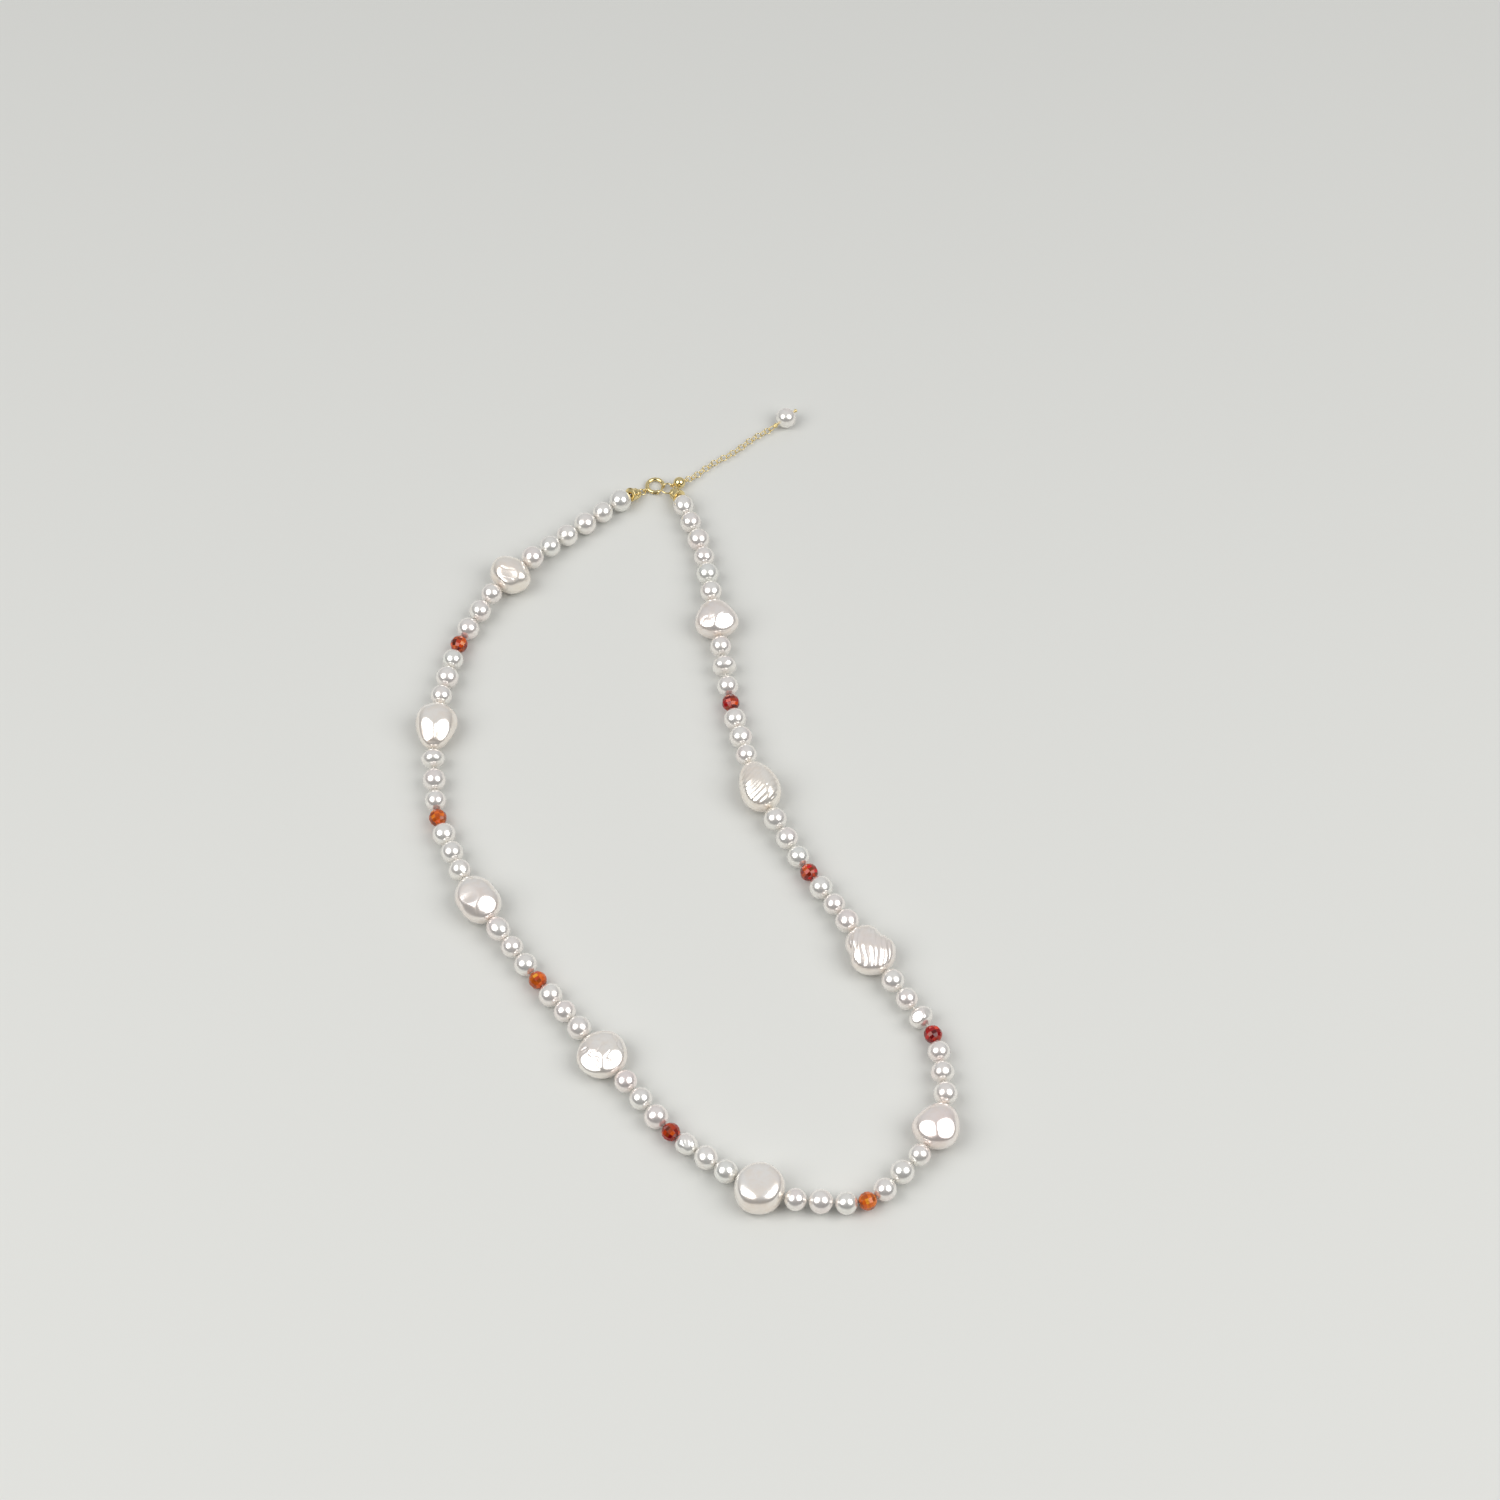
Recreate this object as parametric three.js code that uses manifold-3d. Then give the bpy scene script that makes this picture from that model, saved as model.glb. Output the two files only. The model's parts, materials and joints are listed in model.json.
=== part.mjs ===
// A beaded pearl necklace laid out flat on a table: nine baroque pearls, sixty small pearls and eight
// faceted stones on one thread, two end caps, a spring ring clasp and an extension chain with an end pearl.
// Millimetres, +Z up. The origin is under the middle of the necklace, on the table.

import * as THREE from 'three';
import { mergeVertices } from 'three/addons/utils/BufferGeometryUtils.js';
import Module from 'manifold-3d';

const wasm = await Module();
wasm.setup();

// ---------------------------------------------------------------- driving dimensions

// strand
const pearlDiameter = 5.3;
const pearlSpread = 0.25; // small pearls are this much larger or smaller than pearlDiameter
const stoneDiameter = 3.9;
const beadHole = 0.9;
const threadDiameter = 0.4;
const beadGap = 0.3;
const neckDiameter = 1.5; // core left around the hole between the pearls of a group of three
const tableClearance = 0.05; // small pearls hang this little above the table

// baroque pearls from the left cap round to the right cap:
// length along the thread, width across it, thickness, taper along the thread, corner, lean
const baroquePearls = [
  { length: 8.8, width: 11.0, thickness: 8.0, taper: 0.12, corner: 0.10, lean: 0.30 },
  { length: 12.4, width: 9.8, thickness: 7.8, taper: -0.18, corner: 0.04, lean: 0.00 },
  { length: 12.6, width: 10.4, thickness: 8.2, taper: 0.08, corner: 0.02, lean: -0.25 },
  { length: 11.4, width: 12.0, thickness: 7.0, taper: 0.04, corner: 0.04, lean: 0.10 },
  { length: 11.3, width: 12.0, thickness: 8.2, taper: 0.03, corner: 0.03, lean: -0.10 },
  { length: 11.2, width: 10.4, thickness: 8.2, taper: -0.12, corner: 0.05, lean: 0.20 },
  { length: 12.8, width: 11.2, thickness: 7.6, taper: 0.06, corner: 0.07, lean: -0.15 },
  { length: 13.4, width: 9.8, thickness: 8.4, taper: -0.10, corner: 0.02, lean: 0.10 },
  { length: 10.6, width: 10.2, thickness: 7.8, taper: -0.16, corner: 0.05, lean: -0.10 },
];
const rootPearl = 4; // the front baroque pearl, which lies on a small flat
const restingFlat = 0.2;

// end caps and crimps
const capFlangeDiameter = 3.5;
const capBodyDiameter = 3.0;
const capNoseDiameter = 2.4;
const capFlangeLength = 0.5;
const capBodyLength = 1.5;
const capNoseLength = 0.8;
const capBore = 2.0;
const capEndWall = 0.6;
const crimpDiameter = 1.1;
const crimpLength = 0.9;
const crimpClearance = 0.06;

// wire rings: the diameter is measured outside
const eyeDiameter = 1.3;
const eyeWire = 0.3;
const claspLinkDiameter = 2.1;
const claspLinkWire = 0.35;
const jumpRingDiameter = 3.4;
const jumpRingWire = 0.4;
const chainLinkDiameter = 1.9;
const chainLinkWire = 0.25;
const linkClearance = 0.1;
const weldOverlap = 0.1; // how far soldered wires run into each other

// spring ring
const springRingDiameter = 5.0;
const springRingTube = 0.95;
const springRingBore = 0.62;
const mouthAngle = 50; // degrees of the ring that open
const boltDiameter = 0.46;
const boltClearance = 0.08;
const boltTravel = 38; // degrees
const triggerLength = 0.7;
const triggerWidth = 0.34;
const springWire = 0.1;
const springTurns = 8;
const springAngle = 44; // degrees of the ring that the spring fills

// extension
const chainPairs = 9;
const ballDiameter = 3.0;
const endPearlDiameter = 5.2;
const pinDiameter = 0.5;
const pinClearance = 0.12;
const pinHeadDiameter = 0.9;
const wrapTurns = 3;
const wrapWire = 0.32;

// heights above the table
const leftCapDroop = 31; // degrees that the left cap points down to its eye
const underEye = 0.13; // below the spring ring's eye
const overRing = 0.2; // between the spring ring and the jump ring over it

// facets
const pearlSides = 8;
const wireSides = 5;

// The route of the strand, from the left cap's eye round the front to the right cap's eye, [x, y].
// It is scaled to the length of the beads, and the distance between its ends follows the clasp.
const strandRoute = [
  [-28, 77], [-37, 70], [-45, 63], [-53, 56], [-62, 47], [-70, 33], [-74, 20], [-76, 5], [-76, -12],
  [-72, -28], [-64, -44], [-55, -57], [-43, -73], [-32, -87], [-20, -102], [-8, -113], [4, -120],
  [17, -123], [29, -120], [38, -111], [44, -99], [45, -88], [40, -76], [31, -63], [19, -44], [7, -25],
  [0, -8], [-4, 7], [-7, 25], [-10, 45], [-13, 62], [-16, 71], [-20, 77],
];

// Directions of the clasp's pieces on the table, in degrees from +X towards +Y
const claspLinkHeading = 38;
const springRingHeading = 30;
const meetingHeading = -15; // from the middle of the spring ring to where the jump ring lies over it
const jumpRingHeading = 140;
const ballPlace = 38; // where the ball's eye sits on the jump ring
const ballHeading = 25;
const chainHeading = 38;
const chainWander = 6;

// ---------------------------------------------------------------- materials

function metalMaterial() {
  return new THREE.MeshStandardMaterial({ color: 0xd9b45a, roughness: 0.2, metalness: 1.0 });
}

function pearlMaterial() {
  return new THREE.MeshStandardMaterial({ color: 0xf0e8e2, roughness: 0.25, metalness: 0.0 });
}

function baroqueMaterial() {
  return new THREE.MeshStandardMaterial({ color: 0xefe4d0, roughness: 0.25, metalness: 0.0 });
}

function stoneMaterial() {
  return new THREE.MeshStandardMaterial({ color: 0xb03018, roughness: 0.05, metalness: 0.0 });
}

function threadMaterial() {
  return new THREE.MeshStandardMaterial({ color: 0xefece4, roughness: 0.8, metalness: 0.0 });
}

// ---------------------------------------------------------------- helpers

const up = new THREE.Vector3(0, 0, 1);

function radians(degrees) {
  return THREE.MathUtils.degToRad(degrees);
}

// A level direction, as a unit vector
function heading(degrees) {
  return new THREE.Vector3(Math.cos(radians(degrees)), Math.sin(radians(degrees)), 0);
}

// Turns and places an object so that its +Y runs from one point towards another and its +X stays level
function placeAlong(object, from, to) {
  const along = to.clone().sub(from).normalize();
  const side = along.clone().cross(up).normalize();
  const over = side.clone().cross(along);
  object.quaternion.setFromRotationMatrix(new THREE.Matrix4().makeBasis(side, along, over));
  object.position.copy(from);
  return object;
}

function solid(geometry) {
  const bare = geometry.clone();
  bare.deleteAttribute('normal');
  bare.deleteAttribute('uv');
  const merged = mergeVertices(bare, 1e-4);
  return new wasm.Manifold(new wasm.Mesh({
    numProp: 3,
    vertProperties: merged.attributes.position.array,
    triVerts: new Uint32Array(merged.index.array),
  }));
}

function geometryOf(manifold) {
  const mesh = manifold.getMesh();
  const geometry = new THREE.BufferGeometry();
  geometry.setAttribute('position', new THREE.BufferAttribute(mesh.vertProperties, 3));
  geometry.setIndex(new THREE.BufferAttribute(mesh.triVerts, 1));
  return geometry;
}

function join(...geometries) {
  return geometryOf(geometries.map(solid).reduce((whole, next) => whole.add(next)));
}

function cut(geometry, ...tools) {
  return geometryOf(tools.map(solid).reduce((whole, tool) => whole.subtract(tool), solid(geometry)));
}

// A closed grid: rows of points around a section, wrapped round the last row to the first
function closedGrid(rows) {
  const around = rows[0].length;
  const index = [];
  rows.forEach((row, i) => {
    const next = (i + 1) % rows.length;
    row.forEach((_, j) => {
      const k = (j + 1) % around;
      index.push(i * around + j, i * around + k, next * around + k);
      index.push(i * around + j, next * around + k, next * around + j);
    });
  });
  return new THREE.BufferGeometry().setFromPoints(rows.flat()).setIndex(index);
}

// A rod of round section along a line of points, with flat ends
function rodAlong(points, radius, sides) {
  const rings = points.map((point, i) => {
    const before = points[Math.max(i - 1, 0)];
    const after = points[Math.min(i + 1, points.length - 1)];
    const along = after.clone().sub(before).normalize();
    const side = along.clone().cross(up).normalize();
    const over = side.clone().cross(along);
    return Array.from({ length: sides }, (_, j) => {
      const angle = (2 * Math.PI * j) / sides;
      return point.clone().addScaledVector(side, radius * Math.sin(angle))
        .addScaledVector(over, radius * Math.cos(angle));
    });
  });
  const index = [];
  for (let i = 0; i < rings.length - 1; i += 1) {
    for (let j = 0; j < sides; j += 1) {
      const k = (j + 1) % sides;
      index.push(i * sides + j, i * sides + k, (i + 1) * sides + k);
      index.push(i * sides + j, (i + 1) * sides + k, (i + 1) * sides + j);
    }
  }
  const last = (rings.length - 1) * sides;
  for (let j = 1; j < sides - 1; j += 1) {
    index.push(0, j + 1, j);
    index.push(last, last + j, last + j + 1);
  }
  return new THREE.BufferGeometry().setFromPoints(rings.flat()).setIndex(index);
}

// A flat wire ring round Z, or a standing one in the plane of Y and Z
function wireRing(outerDiameter, wire, steps, standing = false) {
  const ring = new THREE.TorusGeometry((outerDiameter - wire) / 2, wire / 2, wireSides, steps);
  return standing ? ring.rotateY(Math.PI / 2) : ring;
}

// A turned piece with +Y along its axis and a bore of the given radius right through it
function boredTurning(outline, boreRadius, sides) {
  const first = outline[0].y;
  const last = outline[outline.length - 1].y;
  const profile = [new THREE.Vector2(boreRadius, first), ...outline,
    new THREE.Vector2(boreRadius, last), new THREE.Vector2(boreRadius, first)];
  return new THREE.LatheGeometry(profile, sides);
}

// ---------------------------------------------------------------- beads

const pearlHeight = (pearlDiameter + pearlSpread) / 2 + tableClearance;

function smallPearlDiameter(number) {
  return pearlDiameter + pearlSpread * Math.sin(2.4 * number);
}

// Points of a pearl's outline from the neck radius up and back to it, centred at a height
function pearlOutline(diameter, centre, neckRadius) {
  const radius = diameter / 2;
  const start = Math.asin(neckRadius / radius);
  return Array.from({ length: 5 }, (_, i) => {
    const angle = start + (i / 4) * (Math.PI - 2 * start);
    return new THREE.Vector2(radius * Math.sin(angle), centre - radius * Math.cos(angle));
  });
}

// Three drilled pearls in a row, joined by the neck round their hole
function pearlTrio(firstNumber) {
  const outline = [];
  let y = beadGap / 2;
  for (let i = 0; i < 3; i += 1) {
    const diameter = smallPearlDiameter(firstNumber + i);
    outline.push(...pearlOutline(diameter, y + diameter / 2, neckDiameter / 2));
    y += diameter + beadGap;
  }
  return { geometry: boredTurning(outline, beadHole / 2, pearlSides), length: y - beadGap / 2 };
}

// A faceted round stone, cut in four rows of facets
function facetedStone() {
  const radius = stoneDiameter / 2;
  const centre = beadGap / 2 + radius;
  const table = 0.45 * radius;
  const outline = [
    new THREE.Vector2(table, centre - radius),
    new THREE.Vector2(0.86 * radius, centre - 0.62 * radius),
    new THREE.Vector2(radius, centre),
    new THREE.Vector2(0.86 * radius, centre + 0.62 * radius),
    new THREE.Vector2(table, centre + radius),
  ];
  return { geometry: boredTurning(outline, beadHole / 2, 8), length: stoneDiameter + beadGap };
}

// An irregular pearl drilled along +Y. A point of it is an ellipsoid's point, moved sideways by the lean,
// made wider towards one end by the taper, and drawn out at three corners round Z.
function baroquePearl({ length, width, thickness, taper, corner, lean }) {
  const centre = beadGap / 2 + length / 2;
  const around = 14;
  const rows = [];
  for (let degrees = 14; degrees <= 166; degrees += 19) {
    const polar = radians(degrees);
    const row = [];
    for (let j = 0; j < around; j += 1) {
      const angle = (2 * Math.PI * j) / around;
      const along = -Math.cos(polar);
      const side = Math.sin(polar) * Math.sin(angle);
      const rise = Math.sin(polar) * Math.cos(angle);
      const turn = Math.atan2(side, along);
      const level = 1 - rise * rise;
      const reach = 1 + corner * level * Math.cos(3 * turn);
      const swell = 1 + taper * along;
      const x = (width / 2) * reach * swell * side + lean * along * (1 - along * along);
      const z = (thickness / 2) * swell * rise;
      row.push(new THREE.Vector3(x, centre + (length / 2) * along, z));
    }
    rows.push(row);
  }
  const holeRing = (y) => Array.from({ length: around }, (_, j) => {
    const angle = (2 * Math.PI * j) / around;
    return new THREE.Vector3((beadHole / 2) * Math.sin(angle), y, (beadHole / 2) * Math.cos(angle));
  });
  const ends = [holeRing(beadGap / 2), holeRing(beadGap / 2 + length)];
  return { geometry: closedGrid([ends[0], ...rows, ends[1]]), length: length + beadGap };
}

// How far a geometry reaches below its origin
function depthOf(geometry) {
  geometry.computeBoundingBox();
  return -geometry.boundingBox.min.z;
}

// A geometry ground flat underneath, at a depth below its origin
function groundFlat(geometry, depth) {
  return geometryOf(solid(geometry).trimByPlane([0, 0, 1], -depth));
}

// ---------------------------------------------------------------- caps

const capLength = capFlangeLength + capBodyLength + capNoseLength;
const eyeReach = eyeDiameter / 2 - weldOverlap; // from the nose to the middle of the eye
const capReach = beadGap / 2 + capLength + eyeReach;

// A stepped cup with its mouth towards the pearls and a wire eye on its nose. +Y runs from the eye.
function endCap() {
  const mouth = capReach - beadGap / 2;
  const nose = mouth - capLength;
  const shoulder = nose + capNoseLength;
  const flange = shoulder + capBodyLength;
  const floor = nose + capEndWall;
  const cup = new THREE.LatheGeometry([
    new THREE.Vector2(0, nose),
    new THREE.Vector2(capNoseDiameter / 2, nose),
    new THREE.Vector2(capNoseDiameter / 2, shoulder),
    new THREE.Vector2(capBodyDiameter / 2, shoulder),
    new THREE.Vector2(capBodyDiameter / 2, flange),
    new THREE.Vector2(capFlangeDiameter / 2, flange),
    new THREE.Vector2(capFlangeDiameter / 2, mouth),
    new THREE.Vector2(capBore / 2, mouth),
    new THREE.Vector2(capBore / 2, floor),
    new THREE.Vector2(0, floor),
  ], 12);
  return join(cup, wireRing(eyeDiameter, eyeWire, 12, true));
}

const threadEnd = eyeReach + capEndWall + linkClearance; // from the eye to the end of the thread
const crimpStart = threadEnd + linkClearance;

// A crushed tube on the end of the thread, inside the cap
function crimp() {
  const outline = [
    new THREE.Vector2(crimpDiameter / 2, crimpStart),
    new THREE.Vector2(crimpDiameter / 2, crimpStart + crimpLength),
  ];
  return boredTurning(outline, threadDiameter / 2 + crimpClearance, 10);
}

// ---------------------------------------------------------------- clasp

const springRingRadius = (springRingDiameter - springRingTube) / 2;
const ringEyeReach = springRingDiameter / 2 + eyeDiameter / 2 - 2 * weldOverlap;
const mouthStart = 40; // degrees from +Y, on the side away from the eye, which is at 180

// Points of the ring's centre line between two angles, measured from +Y towards +X
function ringArc(startDegrees, endDegrees, steps) {
  return Array.from({ length: steps + 1 }, (_, i) => {
    const angle = radians(startDegrees + ((endDegrees - startDegrees) * i) / steps);
    return new THREE.Vector3(springRingRadius * Math.sin(angle), springRingRadius * Math.cos(angle), 0);
  });
}

const slotStart = mouthStart + mouthAngle + 8;
const triggerAngle = slotStart + 6;
const slotEnd = triggerAngle + boltTravel + 8;
const boltEnd = triggerAngle + 12;
const boreEnd = boltEnd + boltTravel + springAngle;

// A round tube bent into a ring with a mouth, hollow where the bolt and its spring run,
// with a slot for the trigger on its outer side. Its middle is at the origin, its eye towards -Y.
function springRingBody() {
  const tube = rodAlong(ringArc(mouthStart + mouthAngle, mouthStart + 360, 30), springRingTube / 2, 8);
  const bore = rodAlong(ringArc(mouthStart + mouthAngle - 4, boreEnd + 2, 18), springRingBore / 2, 8);
  const socket = rodAlong(ringArc(mouthStart - 8, mouthStart + 4, 3), springRingBore / 2, 8);
  const slot = new THREE.Shape();
  const inner = springRingRadius;
  const outer = springRingRadius + springRingTube;
  slot.absarc(0, 0, outer, radians(90 - slotStart), radians(90 - slotEnd), true);
  slot.absarc(0, 0, inner, radians(90 - slotEnd), radians(90 - slotStart), false);
  const slotHeight = triggerWidth + 2 * boltClearance;
  const slotCutter = new THREE.ExtrudeGeometry(slot, {
    depth: slotHeight, bevelEnabled: false, curveSegments: 8,
  }).translate(0, 0, -slotHeight / 2);
  const eye = wireRing(eyeDiameter, eyeWire, 12, true).translate(0, -ringEyeReach, 0);
  return join(cut(tube, bore, socket, slotCutter), eye);
}

// The bolt that closes the mouth, with the trigger that a fingernail draws back
function springRingBolt() {
  const bolt = rodAlong(ringArc(mouthStart - 5, boltEnd, 14), boltDiameter / 2, 6);
  const outward = heading(90 - triggerAngle);
  const trigger = new THREE.BoxGeometry(triggerLength, triggerWidth, triggerWidth)
    .rotateZ(radians(90 - triggerAngle))
    .translate(...outward.multiplyScalar(springRingRadius + triggerLength / 2).toArray());
  return join(bolt, trigger);
}

// The coil spring behind the bolt
function springRingCoil() {
  const coilRadius = springRingBore / 2 - boltClearance - springWire / 2;
  const start = boltEnd + 2;
  const steps = springTurns * 8;
  const points = Array.from({ length: steps + 1 }, (_, i) => {
    const around = radians(start + ((springAngle - 4 + boltTravel) * i) / steps);
    const turn = (2 * Math.PI * i) / 8;
    const reach = springRingRadius + coilRadius * Math.cos(turn);
    return new THREE.Vector3(reach * Math.sin(around), reach * Math.cos(around), coilRadius * Math.sin(turn));
  });
  return rodAlong(points, springWire / 2, 4);
}

// ---------------------------------------------------------------- extension chain

const hook = chainLinkWire + linkClearance; // between the middles of two wires that hold each other
const linkRadius = (chainLinkDiameter - chainLinkWire) / 2;
const singleReach = 2 * linkRadius - hook;
const pairStep = 2 * linkRadius - (chainLinkWire - weldOverlap);
const pairReach = pairStep + singleReach;

// A flat link whose near wire lies just behind the pivot at the origin. +Y runs along the chain.
function flatLink() {
  return wireRing(chainLinkDiameter, chainLinkWire, 10).translate(0, linkRadius - hook / 2, 0);
}

// A flat link and the standing link after it
function chainPair() {
  const standing = wireRing(chainLinkDiameter, chainLinkWire, 10, true);
  return join(flatLink(), standing.translate(0, linkRadius - hook / 2 + pairStep, 0));
}

// A ball with a standing eye on each side. The origin is the middle of its first eye.
const ballEyeReach = ballDiameter / 2 + eyeDiameter / 2 - 2 * weldOverlap;

function ball() {
  const sphere = new THREE.SphereGeometry(ballDiameter / 2, 14, 10).translate(0, ballEyeReach, 0);
  const nearEye = wireRing(eyeDiameter, eyeWire, 12, true);
  const farEye = wireRing(eyeDiameter, eyeWire, 12, true).translate(0, 2 * ballEyeReach, 0);
  return join(sphere, nearEye, farEye);
}

const wrapStart = linkRadius - hook / 2 + chainLinkDiameter / 2 - weldOverlap;
const endPearlStart = wrapStart + wrapTurns * wrapWire + pinClearance;

// A pin with a loop at one end, wrapped with its own tail, and a head past the pearl
function headpin() {
  const loop = wireRing(chainLinkDiameter, wrapWire, 12, true).translate(0, linkRadius - hook / 2, 0);
  const outline = [new THREE.Vector2(0, wrapStart - wrapWire)];
  for (let i = 0; i < wrapTurns; i += 1) {
    const y = wrapStart + i * wrapWire;
    outline.push(new THREE.Vector2(pinDiameter / 2 + 0.3 * wrapWire, y));
    outline.push(new THREE.Vector2(pinDiameter / 2 + wrapWire, y + wrapWire / 2));
  }
  const wrapEnd = wrapStart + wrapTurns * wrapWire;
  const head = endPearlStart + endPearlDiameter + pinClearance;
  outline.push(
    new THREE.Vector2(pinDiameter / 2, wrapEnd),
    new THREE.Vector2(pinDiameter / 2, head),
    new THREE.Vector2(pinHeadDiameter / 2, head + pinHeadDiameter * 0.3),
    new THREE.Vector2(pinHeadDiameter / 2, head + pinHeadDiameter * 0.7),
    new THREE.Vector2(0, head + pinHeadDiameter),
  );
  return join(loop, new THREE.LatheGeometry(outline, 8));
}

function endPearl() {
  const boreRadius = pinDiameter / 2 + pinClearance;
  const centre = endPearlStart + endPearlDiameter / 2;
  return boredTurning(pearlOutline(endPearlDiameter, centre, 1.6 * boreRadius), boreRadius, 12);
}

// ---------------------------------------------------------------- layout

const springRingHeight = Math.max(eyeDiameter, springRingTube) / 2 + underEye;
const leftEyeHeight = pearlHeight - capReach * Math.sin(radians(leftCapDroop));
const rightEyeHeight = springRingHeight + (springRingTube + jumpRingWire) / 2 + overRing;

// The pieces on the thread in order, each with its geometry, its length along the thread,
// and the height of the thread where it starts
function strandPieces() {
  const pieces = [];
  let pearlNumber = 1;
  let trioNumber = 1;
  const addTrio = (height) => {
    const name = `pearls_${String(trioNumber).padStart(2, '0')}`;
    pieces.push({ name, material: pearlMaterial(), height, ...pearlTrio(pearlNumber) });
    pearlNumber += 3;
    trioNumber += 1;
  };
  const cap = { material: metalMaterial(), geometry: endCap(), length: capReach };
  pieces.push({ name: 'end_cap_left', height: leftEyeHeight, ...cap });
  addTrio(pearlHeight);
  addTrio(pearlHeight);
  baroquePearls.forEach((shape, i) => {
    const pearl = baroquePearl(shape);
    const depth = depthOf(pearl.geometry);
    const height = i === rootPearl ? depth - restingFlat : depth + tableClearance;
    if (i === rootPearl) pearl.geometry = groundFlat(pearl.geometry, height);
    pieces.push({ name: `baroque_pearl_${i + 1}`, material: baroqueMaterial(), height, ...pearl });
    addTrio(height);
    if (i < baroquePearls.length - 1) {
      pieces.push({ name: `stone_${i + 1}`, material: stoneMaterial(), height: pearlHeight, ...facetedStone() });
      addTrio(pearlHeight);
    }
  });
  addTrio(pearlHeight);
  pieces.push({ name: 'end_cap_right', height: pearlHeight, ...cap });
  return pieces;
}

// The route scaled about its start, with the distance between its ends kept
function scaledRoute(scale, start, end) {
  const first = new THREE.Vector3(...strandRoute[0], 0);
  const last = new THREE.Vector3(...strandRoute[strandRoute.length - 1], 0);
  const closing = end.clone().sub(start).sub(last.clone().sub(first).multiplyScalar(scale));
  const points = strandRoute.map(([x, y], i) => {
    const share = i / (strandRoute.length - 1);
    return new THREE.Vector3(x, y, 0).sub(first).multiplyScalar(scale).add(start)
      .addScaledVector(closing, share);
  });
  return new THREE.CatmullRomCurve3(points).getSpacedPoints(2400);
}

// Steps along a line of points in straight chords of the given lengths. The last chords may run on
// past the end of the line, straight ahead.
function walk(line, chords) {
  const joints = [line[0]];
  let cursor = 1;
  chords.forEach((chord) => {
    const from = joints[joints.length - 1];
    while (cursor < line.length - 1 && line[cursor].distanceTo(from) < chord) cursor += 1;
    const direction = line[cursor].clone().sub(line[cursor - 1]).normalize();
    const toFoot = from.clone().sub(line[cursor - 1]);
    const along = toFoot.dot(direction);
    const aside = toFoot.lengthSq() - along * along;
    joints.push(line[cursor - 1].clone().addScaledVector(direction, along + Math.sqrt(chord * chord - aside)));
  });
  return joints;
}

// The joints between the pieces of the strand, from the left eye to the right eye
function strandJoints(pieces, start, end) {
  const heights = [...pieces.map((piece) => piece.height), rightEyeHeight];
  const chords = pieces.map((piece, i) => Math.sqrt(piece.length ** 2 - (heights[i + 1] - heights[i]) ** 2));
  let scale = 1;
  let joints;
  for (let round = 0; round < 12; round += 1) {
    const line = scaledRoute(scale, start, end);
    joints = walk(line, chords);
    const reached = joints[joints.length - 1];
    const ahead = end.clone().sub(line[line.length - 2]).normalize();
    const left = end.clone().sub(reached).dot(ahead);
    const total = chords.reduce((sum, chord) => sum + chord, 0);
    scale *= 1 - left / total;
  }
  return joints.map((joint, i) => joint.clone().setZ(heights[i]));
}

const necklace = new THREE.Group();

function addPiece(name, geometry, material, from, to) {
  const mesh = new THREE.Mesh(geometry, material);
  mesh.name = name;
  necklace.add(placeAlong(mesh, from, to));
}

// the left side of the clasp
const leftEye = new THREE.Vector3(...strandRoute[0], leftEyeHeight);
const claspLinkRadius = (claspLinkDiameter - claspLinkWire) / 2;
const ringEye = leftEye.clone().addScaledVector(heading(claspLinkHeading), 2 * claspLinkRadius)
  .setZ(springRingHeight);
addPiece('clasp_link', wireRing(claspLinkDiameter, claspLinkWire, 12).translate(0, claspLinkRadius, 0),
  metalMaterial(), leftEye, ringEye);
const ringMiddle = ringEye.clone().addScaledVector(heading(springRingHeading), ringEyeReach);
const ringAhead = ringMiddle.clone().add(heading(springRingHeading));
addPiece('spring_ring', springRingBody(), metalMaterial(), ringMiddle, ringAhead);
addPiece('spring_ring_bolt', springRingBolt(), metalMaterial(), ringMiddle, ringAhead);
addPiece('spring_ring_spring', springRingCoil(), metalMaterial(), ringMiddle, ringAhead);

// the right side of the clasp: the jump ring lies over the spring ring's edge
const jumpRingRadius = (jumpRingDiameter - jumpRingWire) / 2;
const meeting = ringMiddle.clone().addScaledVector(heading(meetingHeading), springRingRadius);
const jumpRingMiddle = meeting.clone().addScaledVector(heading(jumpRingHeading), -jumpRingRadius)
  .setZ(rightEyeHeight);
const rightEye = jumpRingMiddle.clone().addScaledVector(heading(jumpRingHeading), -jumpRingRadius);
addPiece('jump_ring', wireRing(jumpRingDiameter, jumpRingWire, 18).translate(0, jumpRingRadius, 0),
  metalMaterial(), rightEye, jumpRingMiddle);
const ballEye = jumpRingMiddle.clone().addScaledVector(heading(ballPlace), jumpRingRadius);
const ballFarEye = ballEye.clone().addScaledVector(heading(ballHeading), 2 * ballEyeReach);
addPiece('ball', ball(), metalMaterial(), ballEye, ballFarEye);

// the extension chain, with every second link standing on the table
const chainHeight = chainLinkDiameter / 2 + tableClearance;
let pivot = ballFarEye.clone().addScaledVector(heading(chainHeading), hook / 2);
for (let i = 0; i <= chainPairs; i += 1) {
  const reach = i < chainPairs ? pairReach : singleReach;
  const rise = chainHeight - pivot.z;
  const level = Math.sqrt(reach ** 2 - rise ** 2);
  const course = heading(chainHeading + chainWander * Math.sin(1.3 * i));
  const next = pivot.clone().addScaledVector(course, level).setZ(chainHeight);
  if (i < chainPairs) {
    addPiece(`chain_links_${i + 1}`, chainPair(), metalMaterial(), pivot, next);
  } else {
    addPiece('chain_end_link', flatLink(), metalMaterial(), pivot, next);
  }
  pivot = next;
}
const endPearlReach = endPearlStart + endPearlDiameter / 2;
const endPearlRise = endPearlDiameter / 2 + tableClearance - pivot.z;
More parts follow.
